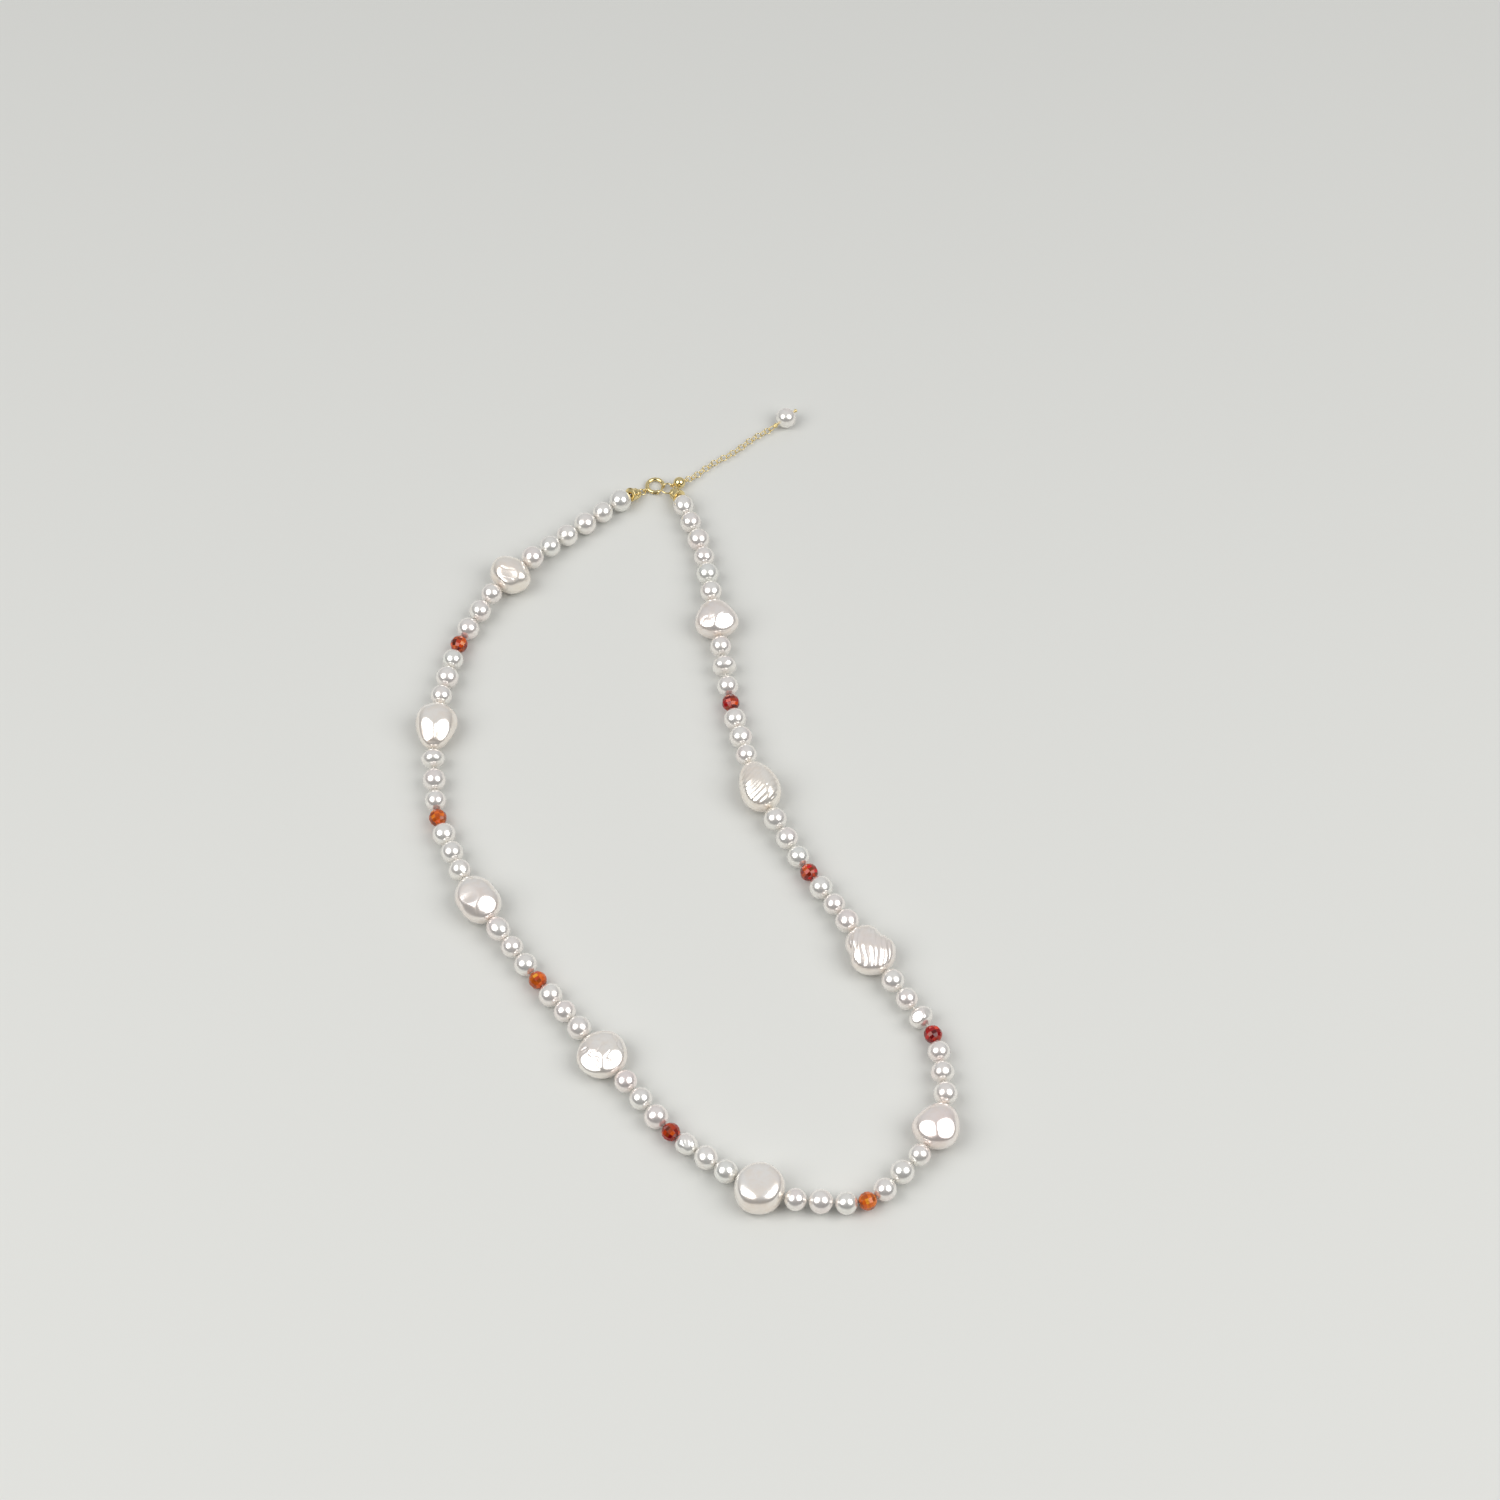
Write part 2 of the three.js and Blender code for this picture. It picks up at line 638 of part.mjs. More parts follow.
const endPearlMiddle = pivot.clone()
  .addScaledVector(heading(chainHeading - chainWander), Math.sqrt(endPearlReach ** 2 - endPearlRise ** 2))
  .setZ(pivot.z + endPearlRise);
addPiece('headpin', headpin(), metalMaterial(), pivot, endPearlMiddle);
addPiece('end_pearl', endPearl(), pearlMaterial(), pivot, endPearlMiddle);

// the strand
const pieces = strandPieces();
const joints = strandJoints(pieces, leftEye.clone().setZ(0), rightEye.clone().setZ(0));
pieces.forEach(({ name, geometry, material }, i) => {
  const turned = name === 'end_cap_right'; // its eye comes last
  addPiece(name, geometry, material, joints[turned ? i + 1 : i], joints[turned ? i : i + 1]);
});
const lastJoint = joints.length - 1;
addPiece('crimp_left', crimp(), metalMaterial(), joints[0], joints[1]);
addPiece('crimp_right', crimp(), metalMaterial(), joints[lastJoint], joints[lastJoint - 1]);

// the thread, straight through every piece, ending in the crimps
const threadPoints = [...joints];
const inward = (end, next) => end.clone().addScaledVector(next.clone().sub(end).normalize(), threadEnd);
threadPoints[0] = inward(joints[0], joints[1]);
threadPoints[lastJoint] = inward(joints[lastJoint], joints[lastJoint - 1]);
const thread = new THREE.Mesh(rodAlong(threadPoints, threadDiameter / 2, 6), threadMaterial());
thread.name = 'thread';
necklace.add(thread);

// the origin goes under the middle of the necklace
const extent = new THREE.Box3().setFromObject(necklace, true);
const middle = extent.getCenter(new THREE.Vector3());
necklace.position.set(-middle.x, -middle.y, -extent.min.z);

export default necklace;
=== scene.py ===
"""The looks of a pearl necklace, built around its packed model: pearls, baroque pearls, faceted stones,
thread, end caps, clasp and extension chain, with a pale table, two round softboxes and a camera.

Lengths are in metres and lie in the model's own frame. Every piece is worked out in local axes, with Y along
the piece, X level across it and Z over it, and is then laid between two pivots of the packed model.
"""

import json
import math

import bpy
import numpy as np
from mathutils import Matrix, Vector

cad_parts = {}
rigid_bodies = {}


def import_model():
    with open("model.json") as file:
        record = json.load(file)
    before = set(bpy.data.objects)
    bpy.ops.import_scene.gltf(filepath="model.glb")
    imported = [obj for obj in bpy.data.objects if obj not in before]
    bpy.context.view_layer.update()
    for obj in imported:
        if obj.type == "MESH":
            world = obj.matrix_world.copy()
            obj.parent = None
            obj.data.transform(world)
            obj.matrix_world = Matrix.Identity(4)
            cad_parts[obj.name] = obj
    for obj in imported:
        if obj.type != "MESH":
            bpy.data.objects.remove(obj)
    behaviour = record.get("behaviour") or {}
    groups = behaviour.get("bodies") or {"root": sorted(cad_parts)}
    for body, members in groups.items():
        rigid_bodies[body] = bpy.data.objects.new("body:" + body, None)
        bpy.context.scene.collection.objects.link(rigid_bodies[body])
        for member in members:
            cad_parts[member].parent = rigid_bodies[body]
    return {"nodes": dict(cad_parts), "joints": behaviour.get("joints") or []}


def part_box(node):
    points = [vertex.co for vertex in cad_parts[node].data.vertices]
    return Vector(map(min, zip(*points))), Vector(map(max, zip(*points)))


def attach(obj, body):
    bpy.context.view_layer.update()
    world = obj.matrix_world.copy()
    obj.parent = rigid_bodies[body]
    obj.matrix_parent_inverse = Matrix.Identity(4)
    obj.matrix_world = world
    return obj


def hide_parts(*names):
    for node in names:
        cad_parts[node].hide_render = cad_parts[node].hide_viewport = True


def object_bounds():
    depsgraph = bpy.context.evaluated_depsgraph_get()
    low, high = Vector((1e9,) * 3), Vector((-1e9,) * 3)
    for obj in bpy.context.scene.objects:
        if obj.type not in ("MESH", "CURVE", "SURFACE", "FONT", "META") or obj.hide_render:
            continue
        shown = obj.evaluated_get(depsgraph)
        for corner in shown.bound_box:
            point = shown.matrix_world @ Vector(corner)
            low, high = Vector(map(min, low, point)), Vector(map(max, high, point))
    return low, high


bl_info = {
    "name": "Pearl Necklace",
    "version": (1, 0, 0),
    "blender": (4, 5, 0),
    "location": "3D View > Sidebar > Necklace",
    "description": "Builds a necklace of pearls, baroque pearls and faceted stones around its packed model",
    "category": "Add Mesh",
}

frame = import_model()
CAD_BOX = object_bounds()
MM = 0.001
TURN = 2 * math.pi

# ------------------------------------------------------------------ the strand, read from the packed model

PARENT = {j["child"]: j["parent"] for j in frame["joints"]}
PIVOT = {frozenset((j["parent"], j["child"])): np.array(j["pos_m"]) for j in frame["joints"]}


def line_to_root(body):
    """The bodies from this one to the root of the model, in order."""
    line = [body]
    while line[-1] in PARENT:
        line.append(PARENT[line[-1]])
    return line


def pivot(one, other):
    """The point about which two neighbouring bodies turn."""
    return PIVOT[frozenset((one, other))]


STRAND = line_to_root("end_cap_left") + line_to_root("end_cap_right")[-2::-1]
STRAND_ENDS = [
    pivot("clasp_link", STRAND[0]),
    *(pivot(one, other) for one, other in zip(STRAND, STRAND[1:])),
    pivot("jump_ring", STRAND[-1]),
]
SPAN = {body: (STRAND_ENDS[i], STRAND_ENDS[i + 1]) for i, body in enumerate(STRAND)}
CHAIN = [*(f"chain_links_{i}" for i in range(1, 10)), "chain_end_link"]


# ------------------------------------------------------------------ axes, grids and pieces


def axes_between(start, end):
    """Rows: level across, along from start to end, and over. They are unit vectors at right angles."""
    along = (end - start) / np.linalg.norm(end - start)
    side = np.cross(along, (0.0, 0.0, 1.0))
    side /= np.linalg.norm(side)
    return np.stack([side, along, np.cross(side, along)])


def lay(points, start, end):
    """Local points moved into the model's frame, with the local origin at start and Y towards end."""
    return np.asarray(start) + points @ axes_between(np.asarray(start), np.asarray(end))


def node_extent(node, start, end):
    """Lowest and highest local coordinates of a packed node, seen in the axes from start to end."""
    mesh = frame["nodes"][node].data
    co = np.empty(len(mesh.vertices) * 3)
    mesh.vertices.foreach_get("co", co)
    local = (co.reshape(-1, 3) - start) @ axes_between(start, end).T
    return local.min(0), local.max(0)


def shell(points, rows_close=False):
    """A grid of points joined into quads, as (points, faces). Columns close round. Rows close round too, or
    end in a flat face each. Faces look outwards when columns turn right-handed about the way rows advance."""
    rows, columns = points.shape[:2]
    index = np.arange(rows * columns).reshape(rows, columns)
    here = index if rows_close else index[:-1]
    ahead = np.roll(index, -1, 0) if rows_close else index[1:]
    quads = np.stack([here, np.roll(here, -1, 1), np.roll(ahead, -1, 1), ahead], -1).reshape(-1, 4)
    ends = [] if rows_close else [index[0][::-1].tolist(), index[-1].tolist()]
    return points.reshape(-1, 3), quads.tolist() + ends


def around(columns):
    """Angles of the columns of a grid, once round."""
    return np.arange(columns) * TURN / columns


def turned(profile, columns=40, rows_close=False):
    """A profile of (radius, y) pairs turned about Y: each point is (r sin a, y, r cos a)."""
    radius, y = np.asarray(profile, float).T[:, :, None]
    angle = around(columns)
    grid = np.stack([radius * np.sin(angle), y + 0 * angle, radius * np.cos(angle)], -1)
    return shell(grid, rows_close)


def tube(centres, normals, radius, columns=14, closed=False):
    """A wire along a line of centres: a point is the centre + r (n cos a + b sin a), where n is the given
    normal made square to the line and b is square to both."""
    if closed:
        tangent = np.roll(centres, -1, 0) - np.roll(centres, 1, 0)
    else:
        tangent = np.gradient(centres, axis=0)
    tangent /= np.linalg.norm(tangent, axis=1, keepdims=True)
    binormal = np.cross(tangent, normals)
    binormal /= np.linalg.norm(binormal, axis=1, keepdims=True)
    normal = np.cross(binormal, tangent)
    angle = around(columns)[None, :, None]
    radius = np.broadcast_to(np.asarray(radius, float), (columns, len(centres))).T[:, :, None]
    grid = centres[:, None] + radius * (normal[:, None] * np.cos(angle) + binormal[:, None] * np.sin(angle))
    return shell(grid, closed)


def wire_ring(outer, wire, standing=False, opening=0.0, steps=48, columns=14, stretch=1.0):
    """A wire bent round the local origin: a circle, stretched along Y, flat or standing on edge, and either
    closed or with an opening given in radians on its +Y side."""
    mid = (outer - wire) / 2
    start = math.pi / 2 + opening / 2
    angle = np.linspace(start, start + TURN - opening, steps, endpoint=opening > 0)
    across, along, zero = np.cos(angle) * mid, np.sin(angle) * mid * stretch, 0 * angle
    centres = np.stack([zero, along, across] if standing else [across, along, zero], -1)
    return tube(centres, centres, wire / 2, columns, closed=opening == 0)


def moved(part, offset):
    """A shell with all of its points moved by an offset."""
    return part[0] + np.asarray(offset, float), part[1]


def joined(parts):
    """Several shells as one list of points and one of faces."""
    points, faces, count = [], [], 0
    for part_points, part_faces in parts:
        points.append(part_points)
        faces += [[i + count for i in face] for face in part_faces]
        count += len(part_points)
    return np.concatenate(points), faces


def add_piece(name, parts, start, end, material, body, nodes, tint=None, smooth=True):
    """A mesh object from shells in local axes, laid between two points, riding on a body and standing for
    the given packed nodes. tint is one colour for each point, or with smooth off for each face, and is read
    by the material."""
    points, faces = joined(parts)
    mesh = bpy.data.meshes.new(name)
    mesh.from_pydata(lay(points, start, end).tolist(), [], faces)
    mesh.polygons.foreach_set("use_smooth", np.full(len(faces), smooth))
    if tint is not None:
        colour = np.ones((len(points), 4))
        if not smooth:
            tint = np.repeat(tint, [len(face) for face in faces], 0)
            colour = np.ones((len(tint), 4))
        colour[:, :3] = tint
        domain = "POINT" if smooth else "CORNER"
        mesh.color_attributes.new("tint", "FLOAT_COLOR", domain).data.foreach_set("color", colour.ravel())
    mesh.materials.append(material)
    mesh.validate()
    mesh.update()
    piece = bpy.data.objects.new(name, mesh)
    bpy.context.scene.collection.objects.link(piece)
    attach(piece, body)
    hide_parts(*nodes)
    return piece


def waves(places, count, shortest, longest, seed):
    """Smooth noise between about -1 and 1: the mean of sine waves in seeded random directions, with
    wavelengths between the shortest and the longest, measured in the units of the places."""
    draw = np.random.default_rng(seed)
    ways = draw.normal(size=(count, 3))
    ways /= np.linalg.norm(ways, axis=1, keepdims=True)
    lengths = np.exp(draw.uniform(math.log(shortest), math.log(longest), count))
    phases = draw.uniform(0, TURN, count)
    return np.sin(places @ (ways * (TURN / lengths)[:, None]).T + phases).sum(-1) / math.sqrt(count)


def bead_skin(rows, columns, rim, turn=0.0):
    """Unit directions over a bead, from the rim of one hole to the other: along = -cos p, side = sin p sin a,
    over = sin p cos a, as a grid in (side, along, over)."""
    polar = np.linspace(rim, math.pi - rim, rows)[:, None]
    angle = around(columns)[None] + turn
    return np.stack(
        [np.sin(polar) * np.sin(angle), -np.cos(polar) + 0 * angle, np.sin(polar) * np.cos(angle)], -1
    )


def drilled(skin, hole):
    """A bead's skin closed through its hole. The lip turns in over a rounded edge of a third of the hole."""
    lip = hole / 3

    def ring(row, radius, y):
        scale = radius / np.hypot(row[:, 0], row[:, 2])
        return np.stack([row[:, 0] * scale, y + 0 * scale, row[:, 2] * scale], -1)

    near, far = skin[0, :, 1].mean(), skin[-1, :, 1].mean()
    inner = [ring(skin[-1], hole, far - lip / 3), ring(skin[-1], hole * 0.94, far - lip)]
    inner += [ring(skin[0], hole * 0.94, near + lip), ring(skin[0], hole, near + lip / 3)]
    return shell(np.concatenate([skin, np.stack(inner)]), rows_close=True)


# ------------------------------------------------------------------ shader maths


class Wire:
    """An output socket. Sums, products and powers of wires and numbers add Math nodes to its material."""

    def __init__(self, shader, socket):
        self.shader = shader
        self.socket = socket

    def math(self, operation, *values):
        return self.shader.add("ShaderNodeMath", {"operation": operation}, dict(enumerate(values)))

    def __add__(self, other):
        return self.math("ADD", self, other)

    __radd__ = __add__

    def __sub__(self, other):
        return self.math("SUBTRACT", self, other)

    def __rsub__(self, other):
        return self.math("SUBTRACT", other, self)

    def __mul__(self, other):
        return self.math("MULTIPLY", self, other)

    __rmul__ = __mul__

    def __pow__(self, power):
        return self.math("POWER", self, power)

    def between(self, low, high):
        """0 below low, 1 above high, and a smooth rise from one to the other."""
        settings = {"interpolation_type": "SMOOTHSTEP"}
        return self.shader.add("ShaderNodeMapRange", settings, {0: self, 1: low, 2: high})


class Shader:
    """A new material and its node tree."""

    def __init__(self, name):
        self.material = bpy.data.materials.new(name)
        self.material.use_nodes = True
        self.tree = self.material.node_tree
        self.tree.nodes.clear()

    def add(self, kind, settings=None, inputs=None, output=0):
        """A node of a type, with its settings made first and then the values or wires of its sockets.
        Returns one of its outputs as a wire."""
        node = self.tree.nodes.new(kind)
        for key, value in (settings or {}).items():
            setattr(node, key, value)
        for key, value in (inputs or {}).items():
            if isinstance(value, Wire):
                self.tree.links.new(value.socket, node.inputs[key])
            else:
                node.inputs[key].default_value = value
        return Wire(self, node.outputs[output]) if len(node.outputs) else None

    def mix(self, factor, one, other, blend="MIX"):
        """A mix of two colours, each a wire or a tuple of four numbers."""
        settings = {"data_type": "RGBA", "blend_type": blend}
        return self.add("ShaderNodeMix", settings, {0: factor, 6: one, 7: other}, 2)

    def places(self):
        """Object coordinates, in metres."""
        return self.add("ShaderNodeTexCoord", output="Object")

    def noise(self, size, detail=2.0, roughness=0.5, distortion=0.0):
        """Noise from 0 to 1 with features of about the given size in metres."""
        inputs = {"Vector": self.places(), "Scale": 1 / size, "Detail": detail}
        inputs |= {"Roughness": roughness, "Distortion": distortion}
        return self.add("ShaderNodeTexNoise", inputs=inputs, output="Fac")

    def tint(self):
        """The colour attribute that each piece carries."""
        return self.add("ShaderNodeAttribute", {"attribute_name": "tint"}, output="Color")

    def bump(self, height, distance, strength=1.0):
        """A normal from a height, where distance is the depth in metres of a height of 1."""
        values = {"Strength": strength, "Distance": distance, "Height": height}
        return self.add("ShaderNodeBump", inputs=values)

    def surface(self, inputs):
        """The Principled surface that ends the tree."""
        surface = self.add("ShaderNodeBsdfPrincipled", inputs=inputs)
        self.add("ShaderNodeOutputMaterial", inputs={"Surface": surface})
        return self.material


def rgba(colour):
    return (*colour, 1.0)


# ------------------------------------------------------------------ materials


def nacre(name, look, peel):
    """Pearl nacre: a tinted body with a broad satin gloss under a clear sharp coat, faint clouds of a second
    tone, and a skin that is never quite smooth."""
    s = Shader(name)
    cloud = s.noise(1.9 * MM, 3.0, 0.55, 0.4).between(0.35, 0.7)
    body = s.mix(cloud * look.cloud_strength, s.tint(), rgba(look.cloud_colour), "MULTIPLY")
    skin = s.noise(0.5 * MM, 2.0) + 0.35 * s.noise(0.12 * MM, 1.0)
    return s.surface(
        {
            "Base Color": body,
            "Metallic": look.satin,
            "Roughness": look.roughness + 0.06 * cloud,
            "IOR": 1.62,
            "Coat Weight": look.coat,
            "Coat Roughness": look.coat_roughness,
            "Coat IOR": 1.6,
            "Sheen Weight": look.sheen,
            "Sheen Roughness": 0.35,
            "Sheen Tint": (1.0, 0.96, 0.9, 1.0),
            "Normal": s.bump(skin, peel),
        }
    )


def cut_stone(name, look):
    """A translucent polished stone: its tint, which carries painted light and shade facet by facet, is uneven
    inside and darker in clouds, under a sharp gloss.
    """
    s = Shader(name)
    cloud = s.noise(1.1 * MM, 4.0, 0.6, 0.8).between(0.3, 0.75)
    body = s.mix(cloud * look.cloud_strength, s.tint(), rgba(look.cloud_colour), "MULTIPLY")
    return s.surface(
        {
            "Base Color": body,
            "Roughness": look.roughness,
            "IOR": 1.56,
            "Transmission Weight": look.clearness,
        }
    )


def gold(name, look, polish):
    """Gold plate: bright metal whose gloss and tone vary a little, with fine polishing marks."""
    s = Shader(name)
    wear = s.noise(0.9 * MM, 3.0)
    marks = s.noise(0.07 * MM, 2.0)
    tone = s.mix(wear.between(0.4, 0.75) * 0.35, rgba(look.colour), rgba(look.deep_colour))
    return s.surface(
        {
            "Base Color": tone,
            "Metallic": 1.0,
            "Roughness": polish + 0.1 * wear,
            "Normal": s.bump(marks, 0.003 * MM),
        }
    )


def spun_thread(name, colour):
    """Twisted white thread with fine fibres."""
    s = Shader(name)
    fibres = s.noise(0.05 * MM, 2.0)
    tone = s.mix(fibres.between(0.3, 0.8) * 0.4, rgba(colour), (0.62, 0.58, 0.5, 1.0))
    return s.surface(
        {
            "Base Color": tone,
            "Roughness": 0.72 + 0.1 * fibres,
            "Sheen Weight": 0.4,
            "Normal": s.bump(fibres, 0.02 * MM),
        }
    )


def table_top(name, colour):
    """A matt pale table with the faintest unevenness of tone."""
    s = Shader(name)
    cloud = s.noise(0.15, 2.0)
    darker = tuple(0.985 * c for c in colour)
    return s.surface({"Base Color": s.mix(cloud, rgba(colour), rgba(darker)), "Roughness": 0.62})


# ------------------------------------------------------------------ settings


def length_setting(name, description, default):
    return bpy.props.FloatProperty(
        name=name, description=description, default=default, min=0.0, unit="LENGTH", precision=5
    )


def share_setting(name, description, default):
    return bpy.props.FloatProperty(name=name, description=description, default=default, min=0.0, max=1.0)


def colour_setting(name, description, default):
    return bpy.props.FloatVectorProperty(
        name=name, description=description, default=default, min=0.0, max=1.0, size=3, subtype="COLOR"
    )


class PearlSettings(bpy.types.PropertyGroup):
    """Sizes and colours of the small round pearls."""

    diameter: length_setting("Diameter", "Usual diameter of a small pearl", 5.3 * MM)
    spread: length_setting("Spread", "How much larger or smaller the pearls are", 0.25 * MM)
    gap: length_setting("Gap", "Space between two beads, where the thread shows", 0.3 * MM)
    hole: length_setting("Hole radius", "Radius of the drilled hole", 0.27 * MM)
    white: colour_setting("White", "Body colour of most pearls", (0.95, 0.93, 0.88))
    rose: colour_setting("Rose", "Body colour of the pinkest pearls", (0.95, 0.86, 0.83))
    green: colour_setting("Green", "Body colour of the coolest pearls", (0.88, 0.90, 0.85))
    cloud_colour: colour_setting("Clouds", "Tone of the faint clouds in the nacre", (0.96, 0.91, 0.89))
    cloud_strength: share_setting("Cloud strength", "How much the clouds show", 0.5)
    satin: share_setting("Satin", "Share of the light that the layers under the coat reflect", 0.62)
    roughness: share_setting("Roughness", "Roughness of the layers under the coat", 0.2)
    coat: share_setting("Coat", "Strength of the clear coat", 1.0)
    coat_roughness: share_setting("Coat roughness", "Roughness of the clear coat", 0.06)
    sheen: share_setting("Sheen", "Strength of the pale glow at the rim", 0.35)


class BaroqueSettings(bpy.types.PropertyGroup):
    """Sizes and colours of the large irregular pearls."""

    hole: length_setting("Hole radius", "Radius of the drilled hole", 0.27 * MM)
    gap: length_setting("Gap", "Space between two beads, where the thread shows", 0.3 * MM)
    cloud_colour: colour_setting("Clouds", "Tone of the clouds in the nacre", (0.97, 0.92, 0.87))
    cloud_strength: share_setting("Cloud strength", "How much the clouds show", 0.7)
    satin: share_setting("Satin", "Share of the light that the layers under the coat reflect", 0.62)
    roughness: share_setting("Roughness", "Roughness of the layers under the coat", 0.2)
    coat: share_setting("Coat", "Strength of the clear coat", 1.0)
    coat_roughness: share_setting("Coat roughness", "Roughness of the clear coat", 0.06)
    sheen: share_setting("Sheen", "Strength of the pale glow at the rim", 0.35)


class StoneSettings(bpy.types.PropertyGroup):
    """Sizes and colours of the faceted stones."""

    gap: length_setting("Gap", "Space between two beads, where the thread shows", 0.3 * MM)
    hole: length_setting("Hole radius", "Radius of the drilled hole", 0.42 * MM)
    facets: bpy.props.IntProperty(name="Facets", description="Facets in one row", default=11, min=5)
    bright: colour_setting("Bright", "Colour of the most orange stones", (1.0, 0.23, 0.012))
    deep: colour_setting("Deep", "Colour of the darkest stones", (0.40, 0.003, 0.003))
    cloud_colour: colour_setting("Clouds", "Tone of the clouds inside", (0.55, 0.35, 0.30))
    cloud_strength: share_setting("Cloud strength", "How much the clouds show", 0.7)
    clearness: share_setting("Clearness", "How much light passes through", 0.2)
    roughness: share_setting("Roughness", "Roughness of the polished facets", 0.04)


class GoldSettings(bpy.types.PropertyGroup):
    """Sizes and colours of the caps, clasp and chain."""

    colour: colour_setting("Gold", "Colour of the plate", (0.90, 0.74, 0.38))
    deep_colour: colour_setting("Deep gold", "Colour of the plate where it is thinnest", (0.74, 0.56, 0.24))
    polish: share_setting("Roughness", "Roughness of the polished metal", 0.05)
    eye: length_setting("Eye", "Outer diameter of a wire eye", 1.3 * MM)
    eye_wire: length_setting("Eye wire", "Thickness of an eye's wire", 0.3 * MM)
    cap_length: length_setting("Cap length", "Length of an end cap without its eye", 2.8 * MM)
    cap_bore: length_setting("Cap bore", "Inner diameter of an end cap", 2.0 * MM)
    clasp_link: length_setting("Clasp link", "Outer diameter of the link at the left cap", 2.1 * MM)
    clasp_link_wire: length_setting("Clasp link wire", "Thickness of that link's wire", 0.35 * MM)
    jump_ring: length_setting("Jump ring", "Outer diameter of the jump ring", 3.4 * MM)
    jump_ring_wire: length_setting("Jump ring wire", "Thickness of the jump ring's wire", 0.4 * MM)
    spring_ring: length_setting("Spring ring", "Outer diameter of the spring ring", 5.0 * MM)
    spring_ring_tube: length_setting("Spring ring tube", "Thickness of the spring ring's tube", 0.95 * MM)
    spring_ring_bore: length_setting("Spring ring bore", "Bore of the spring ring's tube", 0.62 * MM)
    bolt: length_setting("Bolt", "Thickness of the spring ring's bolt", 0.46 * MM)
    spring_wire: length_setting("Spring wire", "Thickness of the coil spring's wire", 0.1 * MM)
    spring_inset: length_setting("Spring inset", "From the bore to the middle of the coil's wire", 0.13 * MM)
    ball: length_setting("Ball", "Diameter of the gold ball", 3.0 * MM)
    link: length_setting("Chain link", "Outer diameter of a chain link", 1.9 * MM)
    link_wire: length_setting("Chain wire", "Thickness of a chain link's wire", 0.25 * MM)
    link_step: length_setting("Link step", "Distance between the two links of a soldered pair", 1.5 * MM)
    hook: length_setting("Hook", "Distance between the middles of two wires that hold each other", 0.35 * MM)
    pin: length_setting("Pin", "Thickness of the headpin", 0.5 * MM)
    wrap_wire: length_setting("Wrap wire", "Thickness of the wire of the loop and its wraps", 0.32 * MM)


class ThreadSettings(bpy.types.PropertyGroup):
    """Size and colour of the thread."""

    diameter: length_setting("Diameter", "Thickness of the thread", 0.4 * MM)
    twist: length_setting("Twist", "Length of one full twist of its two strands", 1.1 * MM)
    colour: colour_setting("Colour", "Colour of the thread", (0.90, 0.87, 0.80))


class StageSettings(bpy.types.PropertyGroup):
    """Table, lights and camera."""

    table: colour_setting("Table", "Colour of the table", (0.68, 0.68, 0.645))
    softbox: bpy.props.FloatProperty(name="Softboxes", description="Power of each, in watts", default=7.3)
    fill: bpy.props.FloatProperty(name="Fill", description="Strength of the room's light", default=0.28)
    elevation: bpy.props.FloatProperty(
        name="Elevation", description="Camera above the horizon", default=math.radians(57), subtype="ANGLE"
    )
    distance: length_setting("Distance", "Camera to the middle of the view", 0.878)
    lens_angle: bpy.props.FloatProperty(
        name="Lens", description="Field of view", default=math.radians(23), subtype="ANGLE"
    )
    aim_x: length_setting("Aim X", "Middle of the view, to the right of the necklace's middle", 16.6 * MM)
    aim_y: length_setting("Aim Y", "Middle of the view, beyond the necklace's middle", 9.7 * MM)


# ------------------------------------------------------------------ beads

# The small pearls that aren't near round, by their number from the left cap: how much longer they are along
# the thread, and how their skin differs. The shape values are those of pearl_skin.
ODD_PEARLS = {
    13: (-0.12, dict(uneven=0.02)),
    18: (-0.03, dict(uneven=0.05)),
    19: (0.10, dict(uneven=0.02)),
    28: (0.06, dict(uneven=0.05, ridges=(3, 0.05, 20), flats=((0.0, -0.3, 1.0, 0.10),))),
    29: (0.02, dict(uneven=0.04)),
    38: (-0.06, dict(uneven=0.03)),
    40: (-0.14, dict(uneven=0.06, flats=((-0.4, -0.4, 1.0, 0.15), (0.6, 0.0, 0.8, 0.12)))),
    43: (0.03, dict(uneven=0.04)),
    53: (-0.16, dict(uneven=0.05, ridges=(2, 0.04, 10))),
    60: (0.08, dict(uneven=0.02)),
}

# Body colours of the large pearls, and the tones that cloud them.
IVORY = (0.97, 0.92, 0.84)
CREAM = (0.96, 0.92, 0.86)
PALE_CREAM = (0.96, 0.93, 0.88)
BLUSH_CREAM = (0.96, 0.90, 0.85)
PEACH = (0.96, 0.88, 0.80)
SHELL = (0.94, 0.87, 0.82)
ROSE = (0.96, 0.84, 0.80)

